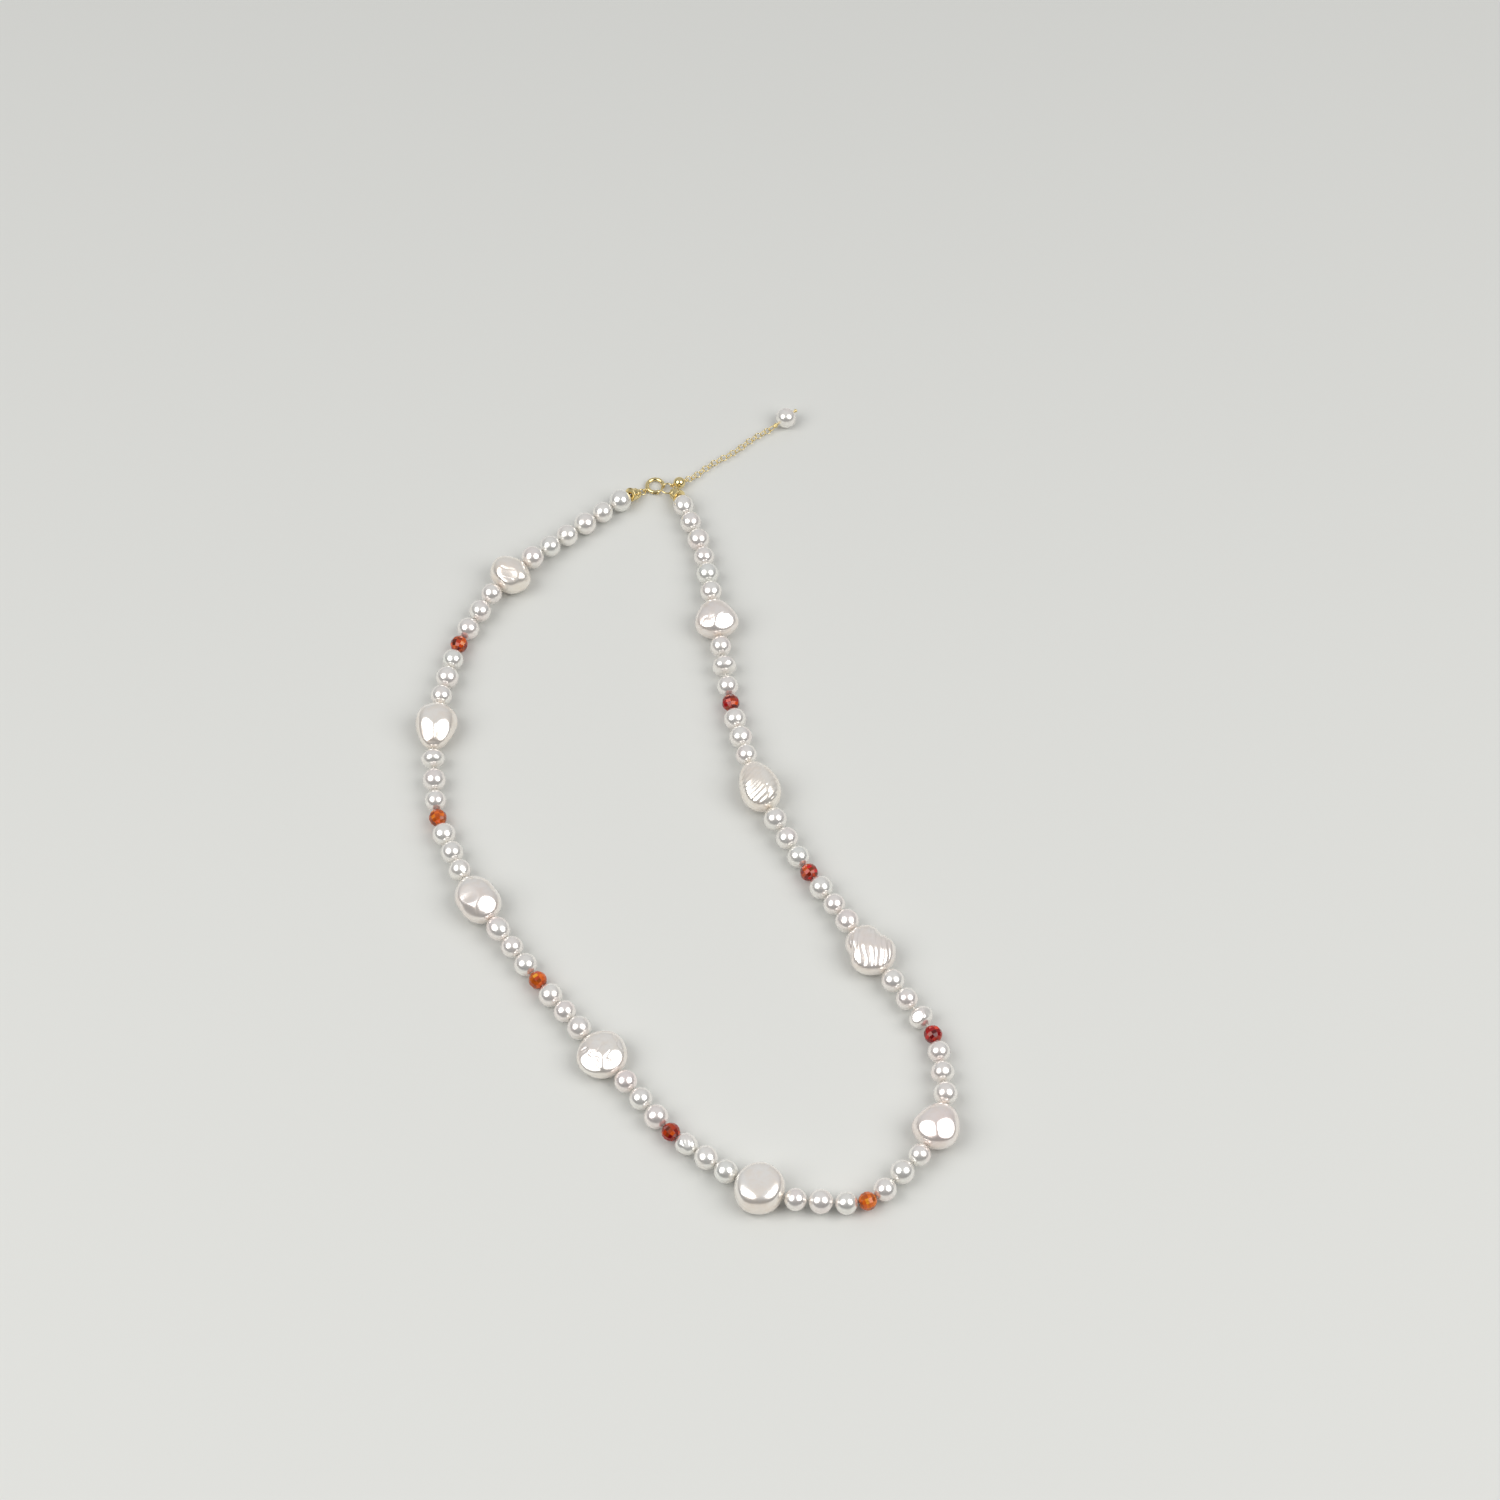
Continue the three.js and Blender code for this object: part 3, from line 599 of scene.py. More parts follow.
# Baroque pearls from the left cap to the right cap. taper, corner and lean shape the outline as the packed
# solid does; the other shape values are those of pearl_skin. tint and blush are the two colours that run
# into each other.
BAROQUE_LOOKS = (
    dict(taper=0.12, corner=0.10, lean=0.3, uneven=0.02, crown=0.6, wrinkles=(0.020, 0.55),
         flats=((-0.1, -0.48, 1.0, 0.13), (0.9, 0.2, 0.6, 0.06)),
         tint=IVORY, blush=PEACH),
    dict(taper=-0.18, corner=0.04, lean=0.0, uneven=0.03, crown=0.5, ridges=(2, 0.030, 5),
         flats=((-0.42, -0.40, 1.0, 0.11), (0.36, -0.44, 1.0, 0.11), (0.0, -0.9, 0.6, 0.06)),
         tint=CREAM, blush=PEACH),
    dict(taper=0.08, corner=0.02, lean=-0.25, uneven=0.02, crown=0.3, waist=(0.05, 0.05),
         flats=((-0.34, -0.15, 1.0, 0.12), (0.34, -0.62, 1.0, 0.10), (-0.5, -0.8, 0.8, 0.06)),
         tint=PALE_CREAM, blush=SHELL),
    dict(taper=0.04, corner=0.04, lean=0.1, uneven=0.015, crown=0.7, wrinkles=(0.045, 0.42),
         flats=((-0.34, -0.48, 1.0, 0.13), (0.36, -0.48, 1.0, 0.11), (-0.6, 0.0, 0.8, 0.05)),
         tint=CREAM, blush=SHELL),
    dict(taper=0.03, corner=0.03, lean=-0.1, uneven=0.008, crown=1.5,
         flats=((0.0, 0.04, 1.0, 0.05), (-0.5, -0.75, 0.9, 0.02)),
         tint=PALE_CREAM, blush=PEACH),
    dict(taper=-0.12, corner=0.05, lean=0.2, uneven=0.015, crown=0.5,
         flats=((-0.36, -0.50, 1.0, 0.09), (0.34, -0.42, 1.0, 0.10), (0.1, 0.5, 0.8, 0.04)),
         tint=BLUSH_CREAM, blush=ROSE),
    dict(taper=0.06, corner=0.07, lean=-0.15, uneven=0.02, crown=0.8, ridges=(8, 0.034, -8),
         waist=(0.10, 0.25), flats=((-0.18, -0.46, 1.0, 0.12), (0.2, -0.48, 1.0, 0.07)),
         tint=CREAM, blush=SHELL),
    dict(taper=-0.10, corner=0.02, lean=0.1, uneven=0.012, crown=0.6, ridges=(13, 0.022, 128),
         flats=((-0.16, -0.47, 1.0, 0.13),),
         tint=IVORY, blush=PEACH),
    dict(taper=-0.16, corner=0.05, lean=-0.1, uneven=0.02, crown=0.4, wrinkles=(0.012, 0.5),
         flats=((-0.38, -0.34, 1.0, 0.10), (0.36, -0.52, 1.0, 0.10)),
         tint=BLUSH_CREAM, blush=SHELL),
)

# How deep the colour of each stone is, from the left cap to the right cap: 0 is bright orange, 1 dark red
STONE_DEPTHS = (0.7, 0.4, 0.45, 0.85, 0.2, 1.0, 0.8, 0.95)


def blend_colours(one, other, share):
    """Colours on the way from one to the other. share may be a number or one number for each point."""
    share = np.asarray(share, float)[..., None]
    return np.asarray(one) * (1 - share) + np.asarray(other) * share


def pearl_skin(half, hole, axes, seed, rows, columns, taper=0.0, corner=0.0, lean=0.0, uneven=0.0,
               crown=0.0, wrinkles=(0.0, 1.0), ridges=(0, 0.0, 0.0), waist=(0.0, 0.0), flats=()):
    """A drilled pearl round the local origin. With the unit direction (side, along, over) and half sizes
    (w, l, t): x = w side (1 + corner cos 3 turn) (1 + taper along) + lean, y = l along,
    z = t tanh(crown over) / tanh(crown) (1 + taper along), all times the height of the skin.

    The height is 1, less flats planed off it (each a direction in the model's axes and a depth; the soft
    minimum of 1 and the distance to each plane), plus slow waves (uneven), less sharp wrinkles (depth,
    width), plus ridges (number, depth, heading across them in degrees) and less a waist (depth, place).
    Changes fade out at the holes, and wrinkles and ridges are on the upper side only."""
    skin = bead_skin(rows, columns, math.asin(hole / half[0]))
    side, along, over = np.moveaxis(skin, -1, 0)
    softness = 45
    planes = [np.exp(-softness) + 0 * side]
    for right, back, up, depth in flats:
        way = (axes @ (right, back, up)) * half
        facing = skin @ (way / np.linalg.norm(way))
        planes.append(np.exp(-softness * (1 - depth) / np.maximum(facing, 0.05)))
    height = -np.log(sum(planes)) / softness
    height += uneven * waves(skin, 7, 1.1, 3.2, seed)
    upper = np.clip(1.6 * over + 0.1, 0, 1)
    depth, width = wrinkles
    crease = np.exp(-((waves(skin, 8, width, 2.4 * width, seed + 1) / 0.16) ** 2))
    height -= depth * crease * upper * np.clip(0.6 + waves(skin, 4, 1.0, 2.0, seed + 2), 0, 1)
    count, depth, heading = ridges
    across = axes @ (math.cos(math.radians(heading)), math.sin(math.radians(heading)), 0.0)
    place = skin @ across + 0.06 * waves(skin, 6, 0.8, 2.0, seed + 3)
    height += depth * (np.abs(np.sin(TURN * count * place / 4)) - 0.5) * upper
    depth, place = waist
    height -= depth * np.exp(-(((along - place) / 0.25) ** 2)) * np.abs(side)
    height = 1 + (height - 1) * np.clip(4 * (1 - along**2), 0, 1)
    reach = 1 + corner * (1 - over**2) * np.cos(3 * np.arctan2(side, along))
    swell = 1 + taper * along
    rise = np.tanh(crown * over) / math.tanh(crown) if crown else over
    x = half[0] * reach * swell * side * height + lean * MM * along * (1 - along**2)
    y = half[1] * along * (1 + (height - 1) / 2)
    return np.stack([x, y, half[2] * swell * rise * height], -1)


def small_pearl(number, diameter, hole, axes):
    """The skin of a small pearl, nearly round unless its number is among the odd ones."""
    longer, shape = ODD_PEARLS.get(number, (0.0, dict(uneven=0.012)))
    half = diameter / 2 * np.array([1 - longer / 2, 1 + longer, 1 - longer / 2])
    return pearl_skin(half, hole, axes, number, 32, 44, **shape)


def pearl_tints(number, skin, look):
    """The body colour over a pearl: white, drawn towards rose or green by the pearl's own share, with slow
    changes over its surface."""
    draw = np.random.default_rng(900 + number)
    rose, green = draw.uniform(0, 0.5), draw.uniform(0, 0.7) * (draw.random() < 0.4)
    drift = waves(skin.reshape(-1, 3) / np.abs(skin).max(), 4, 1.5, 4.0, number + 40)
    base = blend_colours(look.white, look.rose, np.clip(rose + 0.3 * drift, 0, 1))
    return base * (1 - green) + np.asarray(look.green) * green


class NECKLACE_OT_small_pearls(bpy.types.Operator):
    """Strings the small pearls, three to each packed group"""

    bl_idname = "necklace.small_pearls"
    bl_label = "Small Pearls"

    def execute(self, context):
        look = context.scene.necklace_pearls
        material = nacre("pearl nacre", look, 0.004 * MM)
        number = 0
        for body in STRAND:
            if not body.startswith("pearls_"):
                continue
            start, end = SPAN[body]
            numbers = number + 1 + np.arange(3)
            number += 3
            sizes = look.diameter + look.spread * np.sin(2.4 * numbers)
            room = np.linalg.norm(end - start) - 3 * look.gap
            sizes *= room / sizes.sum()
            middle = look.gap / 2
            for own_number, diameter in zip(numbers.tolist(), sizes.tolist()):
                middle += diameter / 2
                axes = axes_between(start, end)
                part = drilled(small_pearl(own_number, diameter, look.hole, axes), look.hole)
                tint = pearl_tints(own_number, part[0], look)
                name = f"pearl_{own_number:02d}"
                parts = [moved(part, (0, middle, 0))]
                add_piece(name, parts, start, end, material, body, [body], tint)
                middle += diameter / 2 + look.gap
        return {"FINISHED"}


class NECKLACE_OT_baroque_pearls(bpy.types.Operator):
    """Makes the nine baroque pearls in the room of their packed solids"""

    bl_idname = "necklace.baroque_pearls"
    bl_label = "Baroque Pearls"

    def execute(self, context):
        look = context.scene.necklace_baroques
        material = nacre("baroque nacre", look, 0.010 * MM)
        for i, shape in enumerate(BAROQUE_LOOKS):
            body = f"baroque_pearl_{i + 1}"
            start, end = SPAN[body]
            length = np.linalg.norm(end - start) - look.gap
            low, high = node_extent(body, start, end)
            half = np.array([(high[0] - low[0]) / 2, length / 2, high[2]])
            axes = axes_between(start, end)
            values = {name: value for name, value in shape.items() if name not in ("tint", "blush")}
            points = pearl_skin(half, look.hole, axes, 70 + 10 * i, 104, 144, **values)
            points[..., 2] = np.maximum(points[..., 2], 0.02 * MM - start[2])
            part = drilled(points, look.hole)
            places = part[0] / half.max()
            share = np.clip(0.45 + 0.6 * waves(places, 6, 1.0, 2.6, 20 + i), 0, 1)
            tint = blend_colours(shape["tint"], shape["blush"], share)
            parts = [moved(part, (0, np.linalg.norm(end - start) / 2, 0))]
            add_piece(f"baroque_{i + 1}", parts, start, end, material, body, [body], tint)
        return {"FINISHED"}


class NECKLACE_OT_stones(bpy.types.Operator):
    """Cuts the faceted stones"""

    bl_idname = "necklace.stones"
    bl_label = "Faceted Stones"

    def execute(self, context):
        look = context.scene.necklace_stones
        material = cut_stone("fire stone", look)
        for i, depth in enumerate(STONE_DEPTHS):
            body = f"stone_{i + 1}"
            start, end = SPAN[body]
            length = np.linalg.norm(end - start)
            rim = math.radians(24)
            radius = (length - look.gap) / 2 / math.cos(rim)
            part = drilled(bead_skin(7, look.facets, rim, 0.2 + 0.7 * i) * radius, look.hole)
            draw = np.random.default_rng(40 + i)
            # Each facet gets a random brightness. This is painted light and shade that stands in for the
            # light the facets reflect and let through inside the stone.
            painted_facet_light = np.exp(draw.normal(-0.1, 0.5, len(part[1])))
            share = np.clip(depth + draw.normal(0, 0.15, len(part[1])), 0, 1)
            tint = np.clip(blend_colours(look.bright, look.deep, share) * painted_facet_light[:, None], 0, 1)
            parts = [moved(part, (0, length / 2, 0))]
            piece = add_piece(
                body + "_cut", parts, start, end, material, body, [body], tint, smooth=False
            )
            edge = piece.modifiers.new("worn edges", "BEVEL")
            edge.width = 0.025 * MM
            edge.segments = 1
            edge.limit_method = "ANGLE"
            edge.angle_limit = math.radians(8)
        return {"FINISHED"}


class NECKLACE_OT_thread(bpy.types.Operator):
    """Runs a stretch of two-ply thread through every piece of the strand"""

    bl_idname = "necklace.thread"
    bl_label = "Thread"

    def execute(self, context):
        look = context.scene.necklace_thread
        material = spun_thread("beading thread", look.colour)
        angle = around(16)
        for i, body in enumerate(STRAND):
            start, end = SPAN[body]
            length = np.linalg.norm(end - start)
            low, high = 0.0, length
            if body == "end_cap_left":
                low = 1.25 * MM
            if body == "end_cap_right":
                high = length - 1.25 * MM
            y = np.linspace(low, high, max(12, round((high - low) / look.twist * 14)))
            lay_angle = TURN * y[:, None] / look.twist
            ply = 0.78 + 0.22 * np.abs(np.cos(angle[None] - lay_angle))
            from_end = np.minimum(y - low, high - y) / look.diameter
            rounded = np.sqrt(np.clip(1 - (from_end - 1) ** 2, 0.02, 1))
            rounded[(y - low > look.diameter) & (high - y > look.diameter)] = 1
            radius = look.diameter / 2 * ply * rounded[:, None]
            grid = np.stack([radius * np.sin(angle), y[:, None] + 0 * ply, radius * np.cos(angle)], -1)
            add_piece(f"thread_{i + 1:02d}", [shell(grid)], start, end, material, body, ["thread"])
        return {"FINISHED"}


# ------------------------------------------------------------------ metal


def node_middle(node):
    """The middle of a packed node's box."""
    low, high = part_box(node)
    return (np.array(low) + np.array(high)) / 2


def eased(profile, ease, steps=4):
    """A profile with its inner corners rounded: each is replaced by a curve that starts and ends at most
    ease away from it, the points of which are (1-t)^2 a + 2 t (1-t) corner + t^2 b."""
    points = np.asarray(profile, float)
    line = [points[:1]]
    for before, corner, after in zip(points, points[1:], points[2:]):
        a = corner + (before - corner) * min(0.5, ease / np.linalg.norm(before - corner))
        b = corner + (after - corner) * min(0.5, ease / np.linalg.norm(after - corner))
        t = np.linspace(0, 1, steps)[:, None]
        line.append((1 - t) ** 2 * a + 2 * t * (1 - t) * corner + t**2 * b)
    return np.concatenate([*line, points[-1:]])


def cap_parts(look, radius, mouth):
    """A stepped cup with a rolled rim at its mouth, a turned groove and a narrower nose, and its wire eye.
    The local origin is the middle of the eye."""
    nose = mouth - look.cap_length
    body, tip = 0.86 * radius, 0.69 * radius
    shoulder, flange = nose + 0.8 * MM, mouth - 0.5 * MM
    bore, floor = look.cap_bore / 2, nose + 0.6 * MM
    centre = 0.01 * MM
    outline = [
        (centre, nose), (tip, nose), (tip, shoulder), (body, shoulder), (body, shoulder + 0.35 * MM),
        (0.93 * body, shoulder + 0.4 * MM), (0.93 * body, shoulder + 0.52 * MM), (body, shoulder + 0.57 * MM),
        (body, flange), (radius, flange), (radius, mouth), (0.65 * bore, mouth),
        (0.65 * bore, mouth - 0.25 * MM), (bore, mouth - 0.25 * MM), (bore, floor), (centre, floor),
    ]
    return [turned(eased(outline, 0.09 * MM), 64), wire_ring(look.eye, look.eye_wire, standing=True)]


class NECKLACE_OT_end_caps(bpy.types.Operator):
    """Turns the two end caps"""

    bl_idname = "necklace.end_caps"
    bl_label = "End Caps"

    def execute(self, context):
        look = context.scene.necklace_gold
        material = gold("polished gold plate", look, look.polish)
        for body in ("end_cap_left", "end_cap_right"):
            eye, mouth = SPAN[body] if body == "end_cap_left" else SPAN[body][::-1]
            high = node_extent(body, eye, mouth)[1]
            parts = cap_parts(look, high[0], high[1])
            add_piece(body + "_turned", parts, eye, mouth, material, body, [body])
        for hidden in ("crimp_left", "crimp_right"):
            mesh = frame["nodes"][hidden].data
            mesh.materials.clear()
            mesh.materials.append(material)
        return {"FINISHED"}


MOUTH = (40, 90)
BOLT = (35, 116)
SPRING = (157, 196)
SPRING_TURNS = 8
TRIGGER = 104
SLOT = (98, 150)


def ring_places(mid, degrees):
    """Points of the spring ring's centre line, at angles from +Y towards +X."""
    angle = np.radians(degrees)
    return np.stack([mid * np.sin(angle), mid * np.cos(angle), 0 * angle], -1)


def slotted_tube(look, mid):
    """The spring ring's tube: a C-shaped wall carried round the ring from one side of its mouth to the other.
    The C's opening looks outwards: a hairline seam that widens to the trigger's slot."""
    degrees = np.linspace(MOUTH[1], MOUTH[0] + 360, 200)
    inside = np.minimum(degrees - SLOT[0], SLOT[1] - degrees) / 5
    half_slot = 0.02 + 0.5 * np.sqrt(np.clip(inside, 0, 1))
    share = np.linspace(0, 1, 28)
    outer = half_slot[:, None] + share * (TURN - 2 * half_slot[:, None])
    angle = np.concatenate([outer, outer[:, ::-1]], 1)[..., None]
    ends = np.clip(np.minimum(degrees - degrees[0], degrees[-1] - degrees) / 3, 0, 1)
    lip = 1 - 0.12 * (1 - np.sqrt(1 - (1 - ends) ** 2))
    wall = np.array([[look.spring_ring_tube / 2] * 28 + [look.spring_ring_bore / 2] * 28])
    wall = np.where(wall > look.spring_ring_bore / 1.9, wall * lip[:, None], wall)[..., None]
    centres = ring_places(mid, degrees)
    outward = centres / mid
    over = np.array([0.0, 0.0, 1.0])
    grid = centres[:, None] + wall * (outward[:, None] * np.cos(angle) + over * np.sin(angle))
    rows, columns = grid.shape[:2]
    index = np.arange(rows * columns).reshape(rows, columns)
    here, ahead = index[:-1], index[1:]
    faces = np.stack([here, ahead, np.roll(ahead, -1, 1), np.roll(here, -1, 1)], -1).reshape(-1, 4).tolist()
    for ring, flip in ((index[0], 1), (index[-1], -1)):
        outside, inner = ring[:28], ring[28:][::-1]
        caps = np.stack([outside[:-1], outside[1:], inner[1:], inner[:-1]], -1)
        faces += caps[:, ::flip].tolist()
    return grid.reshape(-1, 3), faces


class NECKLACE_OT_clasp(bpy.types.Operator):
    """Makes the clasp: its link, the spring ring with bolt and trigger, the jump ring and the ball"""

    bl_idname = "necklace.clasp"
    bl_label = "Clasp"

    def execute(self, context):
        look = context.scene.necklace_gold
        material = gold("polished clasp gold", look, look.polish)

        eye, ring_eye = pivot("end_cap_left", "clasp_link"), pivot("clasp_link", "spring_ring")
        reach = (look.clasp_link - look.clasp_link_wire) / 2
        link = moved(wire_ring(look.clasp_link, look.clasp_link_wire, opening=0.04), (0, reach, 0))
        add_piece("clasp_link_wire", [link], eye, ring_eye, material, "clasp_link", ["clasp_link"])

        middle = pivot("spring_ring", "spring_ring_bolt")
        ahead = 2 * middle - ring_eye
        eye_place = (0, -np.linalg.norm(middle - ring_eye), 0)
        mid = (look.spring_ring - look.spring_ring_tube) / 2
        collar_line = np.linspace(0.30 * MM, 0.62 * MM, 8)[:, None] * np.array([0, 1.0, 0]) + eye_place
        collar = tube(collar_line, np.tile([1.0, 0, 0], (8, 1)), 0.3 * MM)
        ring_parts = [slotted_tube(look, mid), collar]
        ring_parts.append(moved(wire_ring(look.eye, look.eye_wire, standing=True), eye_place))
        add_piece(
            "spring_ring_tube", ring_parts, middle, ahead, material, "spring_ring", ["spring_ring"]
        )
        bolt_line = ring_places(mid, np.linspace(*BOLT, 40))
        bolt = tube(bolt_line, bolt_line, look.bolt / 2)
        outward = ring_places(1.0, np.array([TRIGGER]))[0]
        stem = np.linspace(0, 1, 12)
        stem_line = ring_places(mid, np.array([TRIGGER])) + outward * stem[:, None] * 0.78 * MM
        tip_round = np.sqrt(np.clip(1 - np.clip(stem - 0.8, 0, 1) ** 2 * 22, 0.05, 1))
        swell = np.where(stem > 0.66, 0.24, 0.16) * tip_round
        trigger = tube(stem_line, np.tile([0.0, 0, 1.0], (12, 1)), swell * MM)
        # The coil fills only the part of the tube that the bolt never reaches, so that it stays clear of the
        # bolt at every pose. It doesn't shorten.
        turns = np.linspace(0, SPRING_TURNS, SPRING_TURNS * 20)
        coil = look.spring_ring_bore / 2 - look.spring_inset
        spring_line = ring_places(mid, np.linspace(*SPRING, len(turns)))
        outwards = spring_line / mid
        upwards = np.array([0, 0, 1])
        wind = outwards * np.cos(TURN * turns)[:, None] + upwards * np.sin(TURN * turns)[:, None]
        coiled = tube(spring_line + coil * wind, wind, look.spring_wire / 2, 8)
        add_piece(
            "spring_ring_coil", [coiled], middle, ahead, material, "spring_ring",
            ["spring_ring_spring"],
        )
        add_piece(
            "spring_ring_bolt_and_trigger", [bolt, trigger], middle, ahead, material, "spring_ring_bolt",
            ["spring_ring_bolt"],
        )

        eye = pivot("end_cap_right", "jump_ring")
        reach = (look.jump_ring - look.jump_ring_wire) / 2
        ring = moved(wire_ring(look.jump_ring, look.jump_ring_wire, opening=0.03), (0, reach, 0))
        add_piece(
            "jump_ring_wire", [ring], eye, node_middle("jump_ring"), material, "jump_ring",
            ["jump_ring"],
        )

        eye, middle = pivot("jump_ring", "ball"), node_middle("ball")
        centre = np.linalg.norm(middle - eye)
        polar = np.linspace(0.004, math.pi - 0.004, 40)
        profile = np.stack([np.sin(polar), -np.cos(polar)], -1) * look.ball / 2 + (0, centre)
        parts = [turned(profile, 64)]
        for place in (0, 2 * centre):
            parts.append(moved(wire_ring(look.eye, look.eye_wire, standing=True), (0, place, 0)))
        add_piece("gold_ball", parts, eye, middle, material, "ball", ["ball"])
        return {"FINISHED"}


class NECKLACE_OT_chain(bpy.types.Operator):
    """Makes the links of the extension chain"""

    bl_idname = "necklace.chain"
    bl_label = "Extension Chain"

    def execute(self, context):
        look = context.scene.necklace_gold
        material = gold("chain gold", look, look.polish + 0.05)
        ends = [pivot(one, other) for one, other in zip(["ball", *CHAIN], [*CHAIN, "headpin"])]
        first = (look.link - look.link_wire - look.hook) / 2
        for body, start, end in zip(CHAIN, ends, ends[1:]):
            parts = [moved(wire_ring(look.link, look.link_wire, steps=36, columns=12), (0, first, 0))]
            if body != CHAIN[-1]:
                standing = wire_ring(look.link, look.link_wire, standing=True, steps=36, columns=12)
                parts.append(moved(standing, (0, first + look.link_step, 0)))
            add_piece(body + "_wire", parts, start, end, material, body, [body])
        return {"FINISHED"}


class NECKLACE_OT_end_pearl(bpy.types.Operator):
    """Makes the wrapped headpin and the pearl on it"""

    bl_idname = "necklace.end_pearl"
    bl_label = "End Pearl"

    def execute(self, context):
        look = context.scene.necklace_gold
        pearls = context.scene.necklace_pearls
        material = gold("headpin gold", look, look.polish)
        start = pivot(CHAIN[-1], "headpin")
        turn = next(j for j in frame["joints"] if j["child"] == "end_pearl")
        end = start + np.array(turn["axis"])
        low, high = node_extent("end_pearl", start, end)
        loop_middle = (look.link - look.link_wire - look.hook) / 2
        wraps_from = loop_middle + look.link / 2 - 0.1 * MM
        turns = np.linspace(0, 3.2, 110)
        coil = look.pin / 2 + look.wrap_wire / 2
        normals = np.stack([np.sin(TURN * turns), 0 * turns, np.cos(TURN * turns)], -1)
        climb = (low[1] - wraps_from - look.wrap_wire) / 3.2
        centres = normals * coil + np.stack([0 * turns, wraps_from + turns * climb, 0 * turns], -1)
        tip = high[1] + 0.95 * MM
        pin = look.pin / 2
        shaft = [(0.02 * MM, wraps_from - 0.2 * MM), (pin, wraps_from - 0.15 * MM), (pin, high[1] + 0.1 * MM)]
        shaft += [(1.8 * pin, high[1] + 0.35 * MM), (1.8 * pin, tip - 0.25 * MM), (0.02 * MM, tip)]
        parts = [
            moved(wire_ring(look.link, look.wrap_wire, standing=True), (0, loop_middle, 0)),
            tube(centres, normals, look.wrap_wire / 2),
            turned(eased(shaft, 0.15 * MM), 32),
        ]
        add_piece("headpin_wire", parts, start, end, material, "headpin", ["headpin"])

        nacre_material = nacre("end pearl nacre", pearls, 0.004 * MM)
        axes = axes_between(start, end)
        part = drilled(small_pearl(61, high[1] - low[1], pearls.hole, axes), pearls.hole)
        tint = pearl_tints(61, part[0], pearls)
        parts = [moved(part, (0, (low[1] + high[1]) / 2, 0))]
        add_piece(
            "end_pearl_drop", parts, start, end, nacre_material, "end_pearl", ["end_pearl"], tint
        )
        return {"FINISHED"}


# ------------------------------------------------------------------ stage


def room_light(fill):
    """A pale room that is dark low down on the near side and grows brighter overhead and beyond."""
    world = bpy.data.worlds.new("room")
    world.use_nodes = True
    tree = world.node_tree
    way = tree.nodes.new("ShaderNodeTexCoord")
    facing = tree.nodes.new("ShaderNodeVectorMath")
    facing.operation = "DOT_PRODUCT"
    facing.inputs[1].default_value = (0.0, 0.7, 0.7)
    rise = tree.nodes.new("ShaderNodeMapRange")
    rise.interpolation_type = "SMOOTHSTEP"
    limits = {"From Min": -0.2, "From Max": 1.0, "To Min": 0.3 * fill, "To Max": 1.9 * fill}
    for socket, value in limits.items():
        rise.inputs[socket].default_value = value
    tree.links.new(way.outputs["Generated"], facing.inputs[0])
    tree.links.new(facing.outputs["Value"], rise.inputs["Value"])
    tree.links.new(rise.outputs[0], tree.nodes["Background"].inputs["Strength"])
    tree.nodes["Background"].inputs["Color"].default_value = (0.96, 0.97, 1.0, 1.0)
    return world


class NECKLACE_OT_stage(bpy.types.Operator):
    """Sets the table, the two round softboxes, the room's light and the camera"""

    bl_idname = "necklace.stage"
    bl_label = "Stage"

    def execute(self, context):
        look = context.scene.necklace_stage
        half = 1.6
        mesh = bpy.data.meshes.new("table")
        corners = [(-half, -half, 0), (half, -half, 0), (half, half, 0), (-half, half, 0)]
        mesh.from_pydata(corners, [], [(0, 1, 2, 3)])
        mesh.materials.append(table_top("matt table", look.table))
        table = bpy.data.objects.new("table", mesh)
        context.scene.collection.objects.link(table)

        low, high = CAD_BOX
        middle = (Vector(low) + Vector(high)) / 2
        aim = Vector((middle.x + look.aim_x, middle.y + look.aim_y, 2.5 * MM))
        back = Vector((0, -math.cos(look.elevation), math.sin(look.elevation)))
        above = Vector((0, math.sin(look.elevation), math.cos(look.elevation)))

        camera = bpy.data.objects.new("camera", bpy.data.cameras.new("camera"))
        camera.data.angle = look.lens_angle
        camera.data.clip_start = 0.01
        camera.location = aim + back * look.distance
        camera.rotation_euler = (math.pi / 2 - look.elevation, 0, 0)
        context.scene.collection.objects.link(camera)
        context.scene.camera = camera

        for side in (-1, 1):
            light = bpy.data.lights.new("softbox", "AREA")
            light.shape = "DISK"
            light.size = 1.0
            light.energy = look.softbox
            lamp = bpy.data.objects.new("softbox", light)
            level, rise = math.radians(37), math.radians(16)
            way = (back * math.cos(rise) + above * math.sin(rise)) * math.cos(level)
            way += Vector((side * math.sin(level), 0, 0))
            lamp.location = aim + way * 1.15
            lamp.rotation_euler = way.to_track_quat("Z", "Y").to_euler()
            context.scene.collection.objects.link(lamp)

        context.scene.world = room_light(look.fill)
        context.scene.view_settings.view_transform = "Standard"
        return {"FINISHED"}


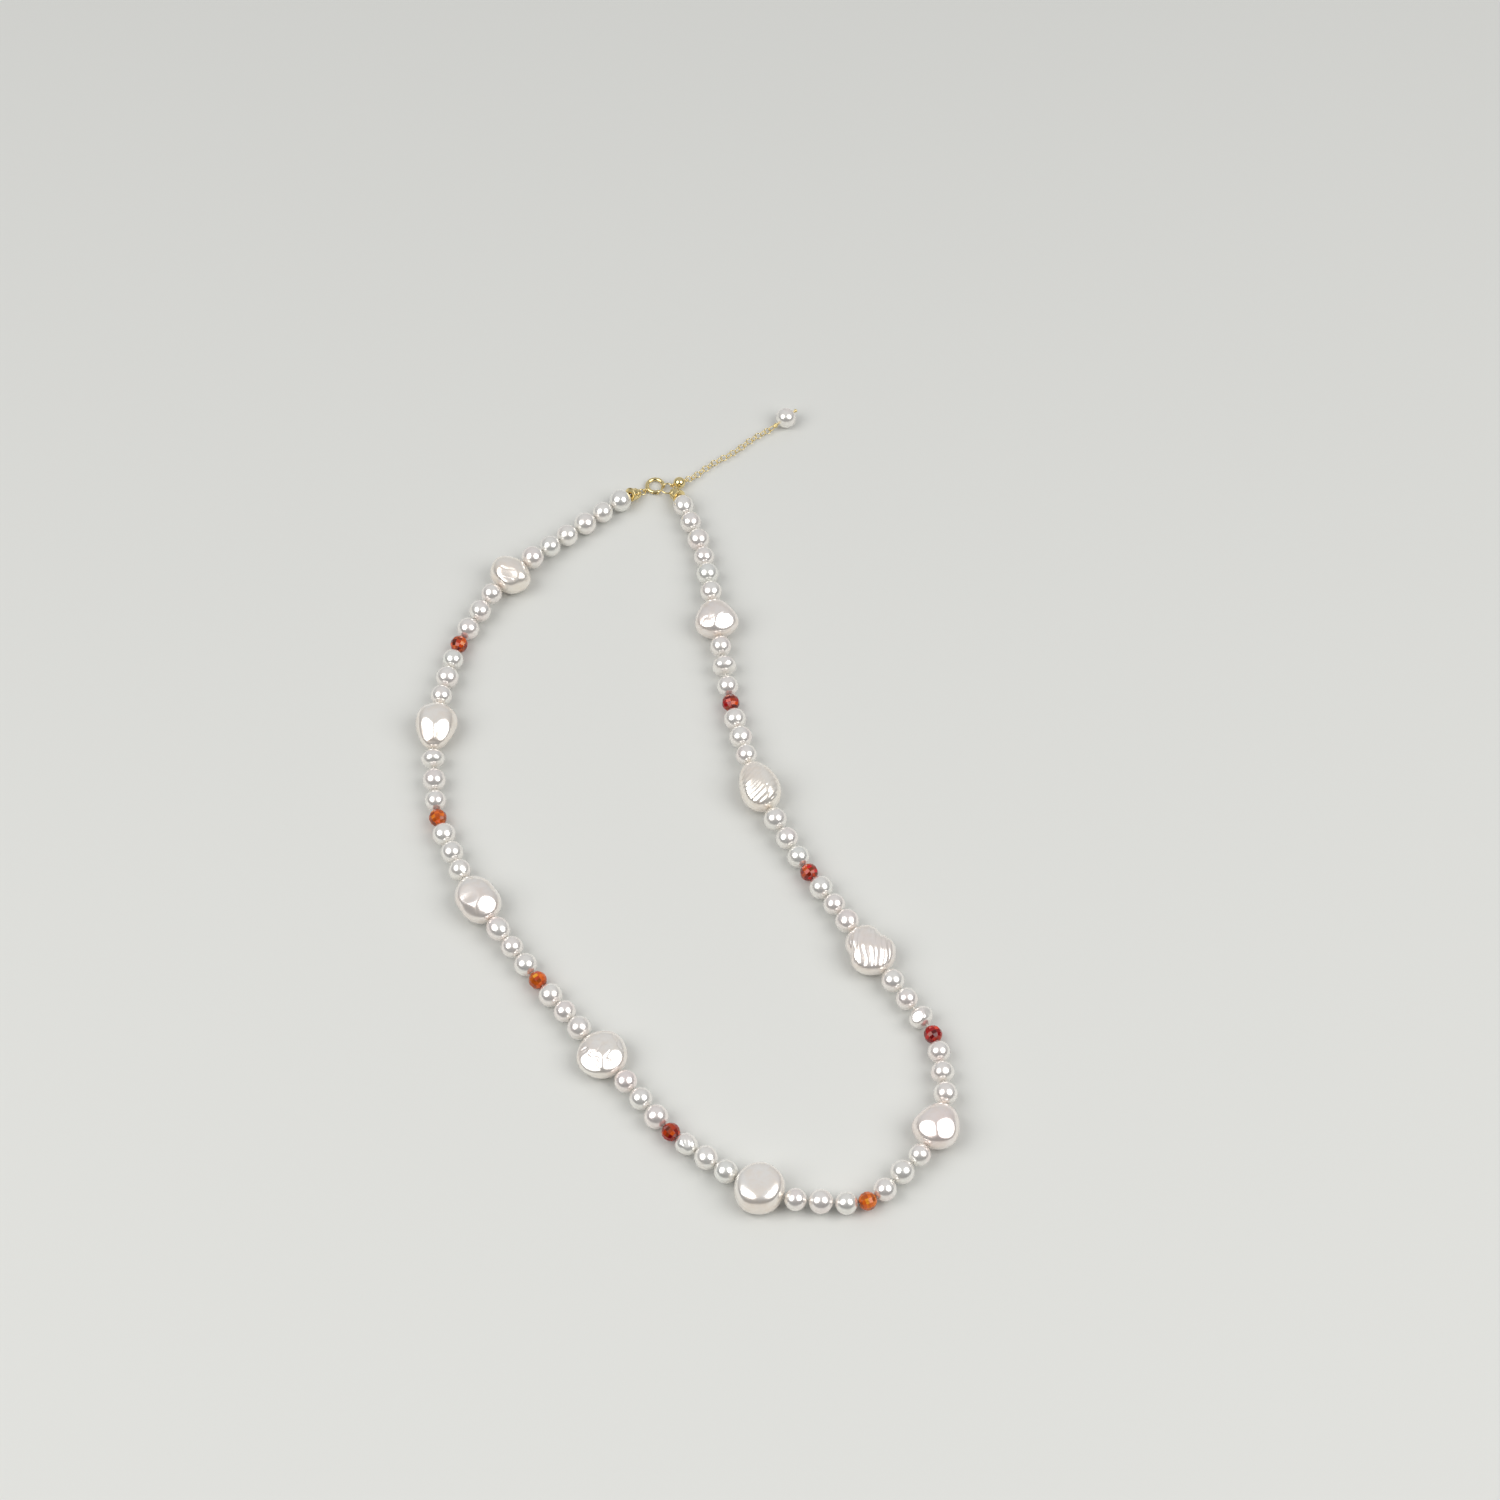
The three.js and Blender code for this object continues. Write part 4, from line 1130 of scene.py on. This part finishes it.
# ------------------------------------------------------------------ panel and registration

OPERATORS = (
    NECKLACE_OT_stage,
    NECKLACE_OT_small_pearls,
    NECKLACE_OT_baroque_pearls,
    NECKLACE_OT_stones,
    NECKLACE_OT_thread,
    NECKLACE_OT_end_caps,
    NECKLACE_OT_clasp,
    NECKLACE_OT_chain,
    NECKLACE_OT_end_pearl,
)
SETTINGS = {
    "necklace_pearls": PearlSettings,
    "necklace_baroques": BaroqueSettings,
    "necklace_stones": StoneSettings,
    "necklace_thread": ThreadSettings,
    "necklace_gold": GoldSettings,
    "necklace_stage": StageSettings,
}


class NECKLACE_PT_panel(bpy.types.Panel):
    """Lists the necklace's pieces and their settings"""

    bl_idname = "NECKLACE_PT_panel"
    bl_label = "Pearl Necklace"
    bl_space_type = "VIEW_3D"
    bl_region_type = "UI"
    bl_category = "Necklace"

    def draw(self, context):
        for operator in OPERATORS:
            self.layout.operator(operator.bl_idname)
        for attribute, group in SETTINGS.items():
            box = self.layout.box()
            box.label(text=group.__doc__)
            for setting in group.__annotations__:
                box.prop(getattr(context.scene, attribute), setting)


def register():
    for group in SETTINGS.values():
        bpy.utils.register_class(group)
    for attribute, group in SETTINGS.items():
        setattr(bpy.types.Scene, attribute, bpy.props.PointerProperty(type=group))
    for operator in OPERATORS:
        bpy.utils.register_class(operator)
    bpy.utils.register_class(NECKLACE_PT_panel)


def unregister():
    bpy.utils.unregister_class(NECKLACE_PT_panel)
    for operator in reversed(OPERATORS):
        bpy.utils.unregister_class(operator)
    for attribute in SETTINGS:
        delattr(bpy.types.Scene, attribute)
    for group in reversed(SETTINGS.values()):
        bpy.utils.unregister_class(group)


def main():
    register()
    bpy.ops.necklace.stage()
    bpy.ops.necklace.small_pearls()
    bpy.ops.necklace.baroque_pearls()
    bpy.ops.necklace.stones()
    bpy.ops.necklace.thread()
    bpy.ops.necklace.end_caps()
    bpy.ops.necklace.clasp()
    bpy.ops.necklace.chain()
    bpy.ops.necklace.end_pearl()


if __name__ == "__main__":
    main()
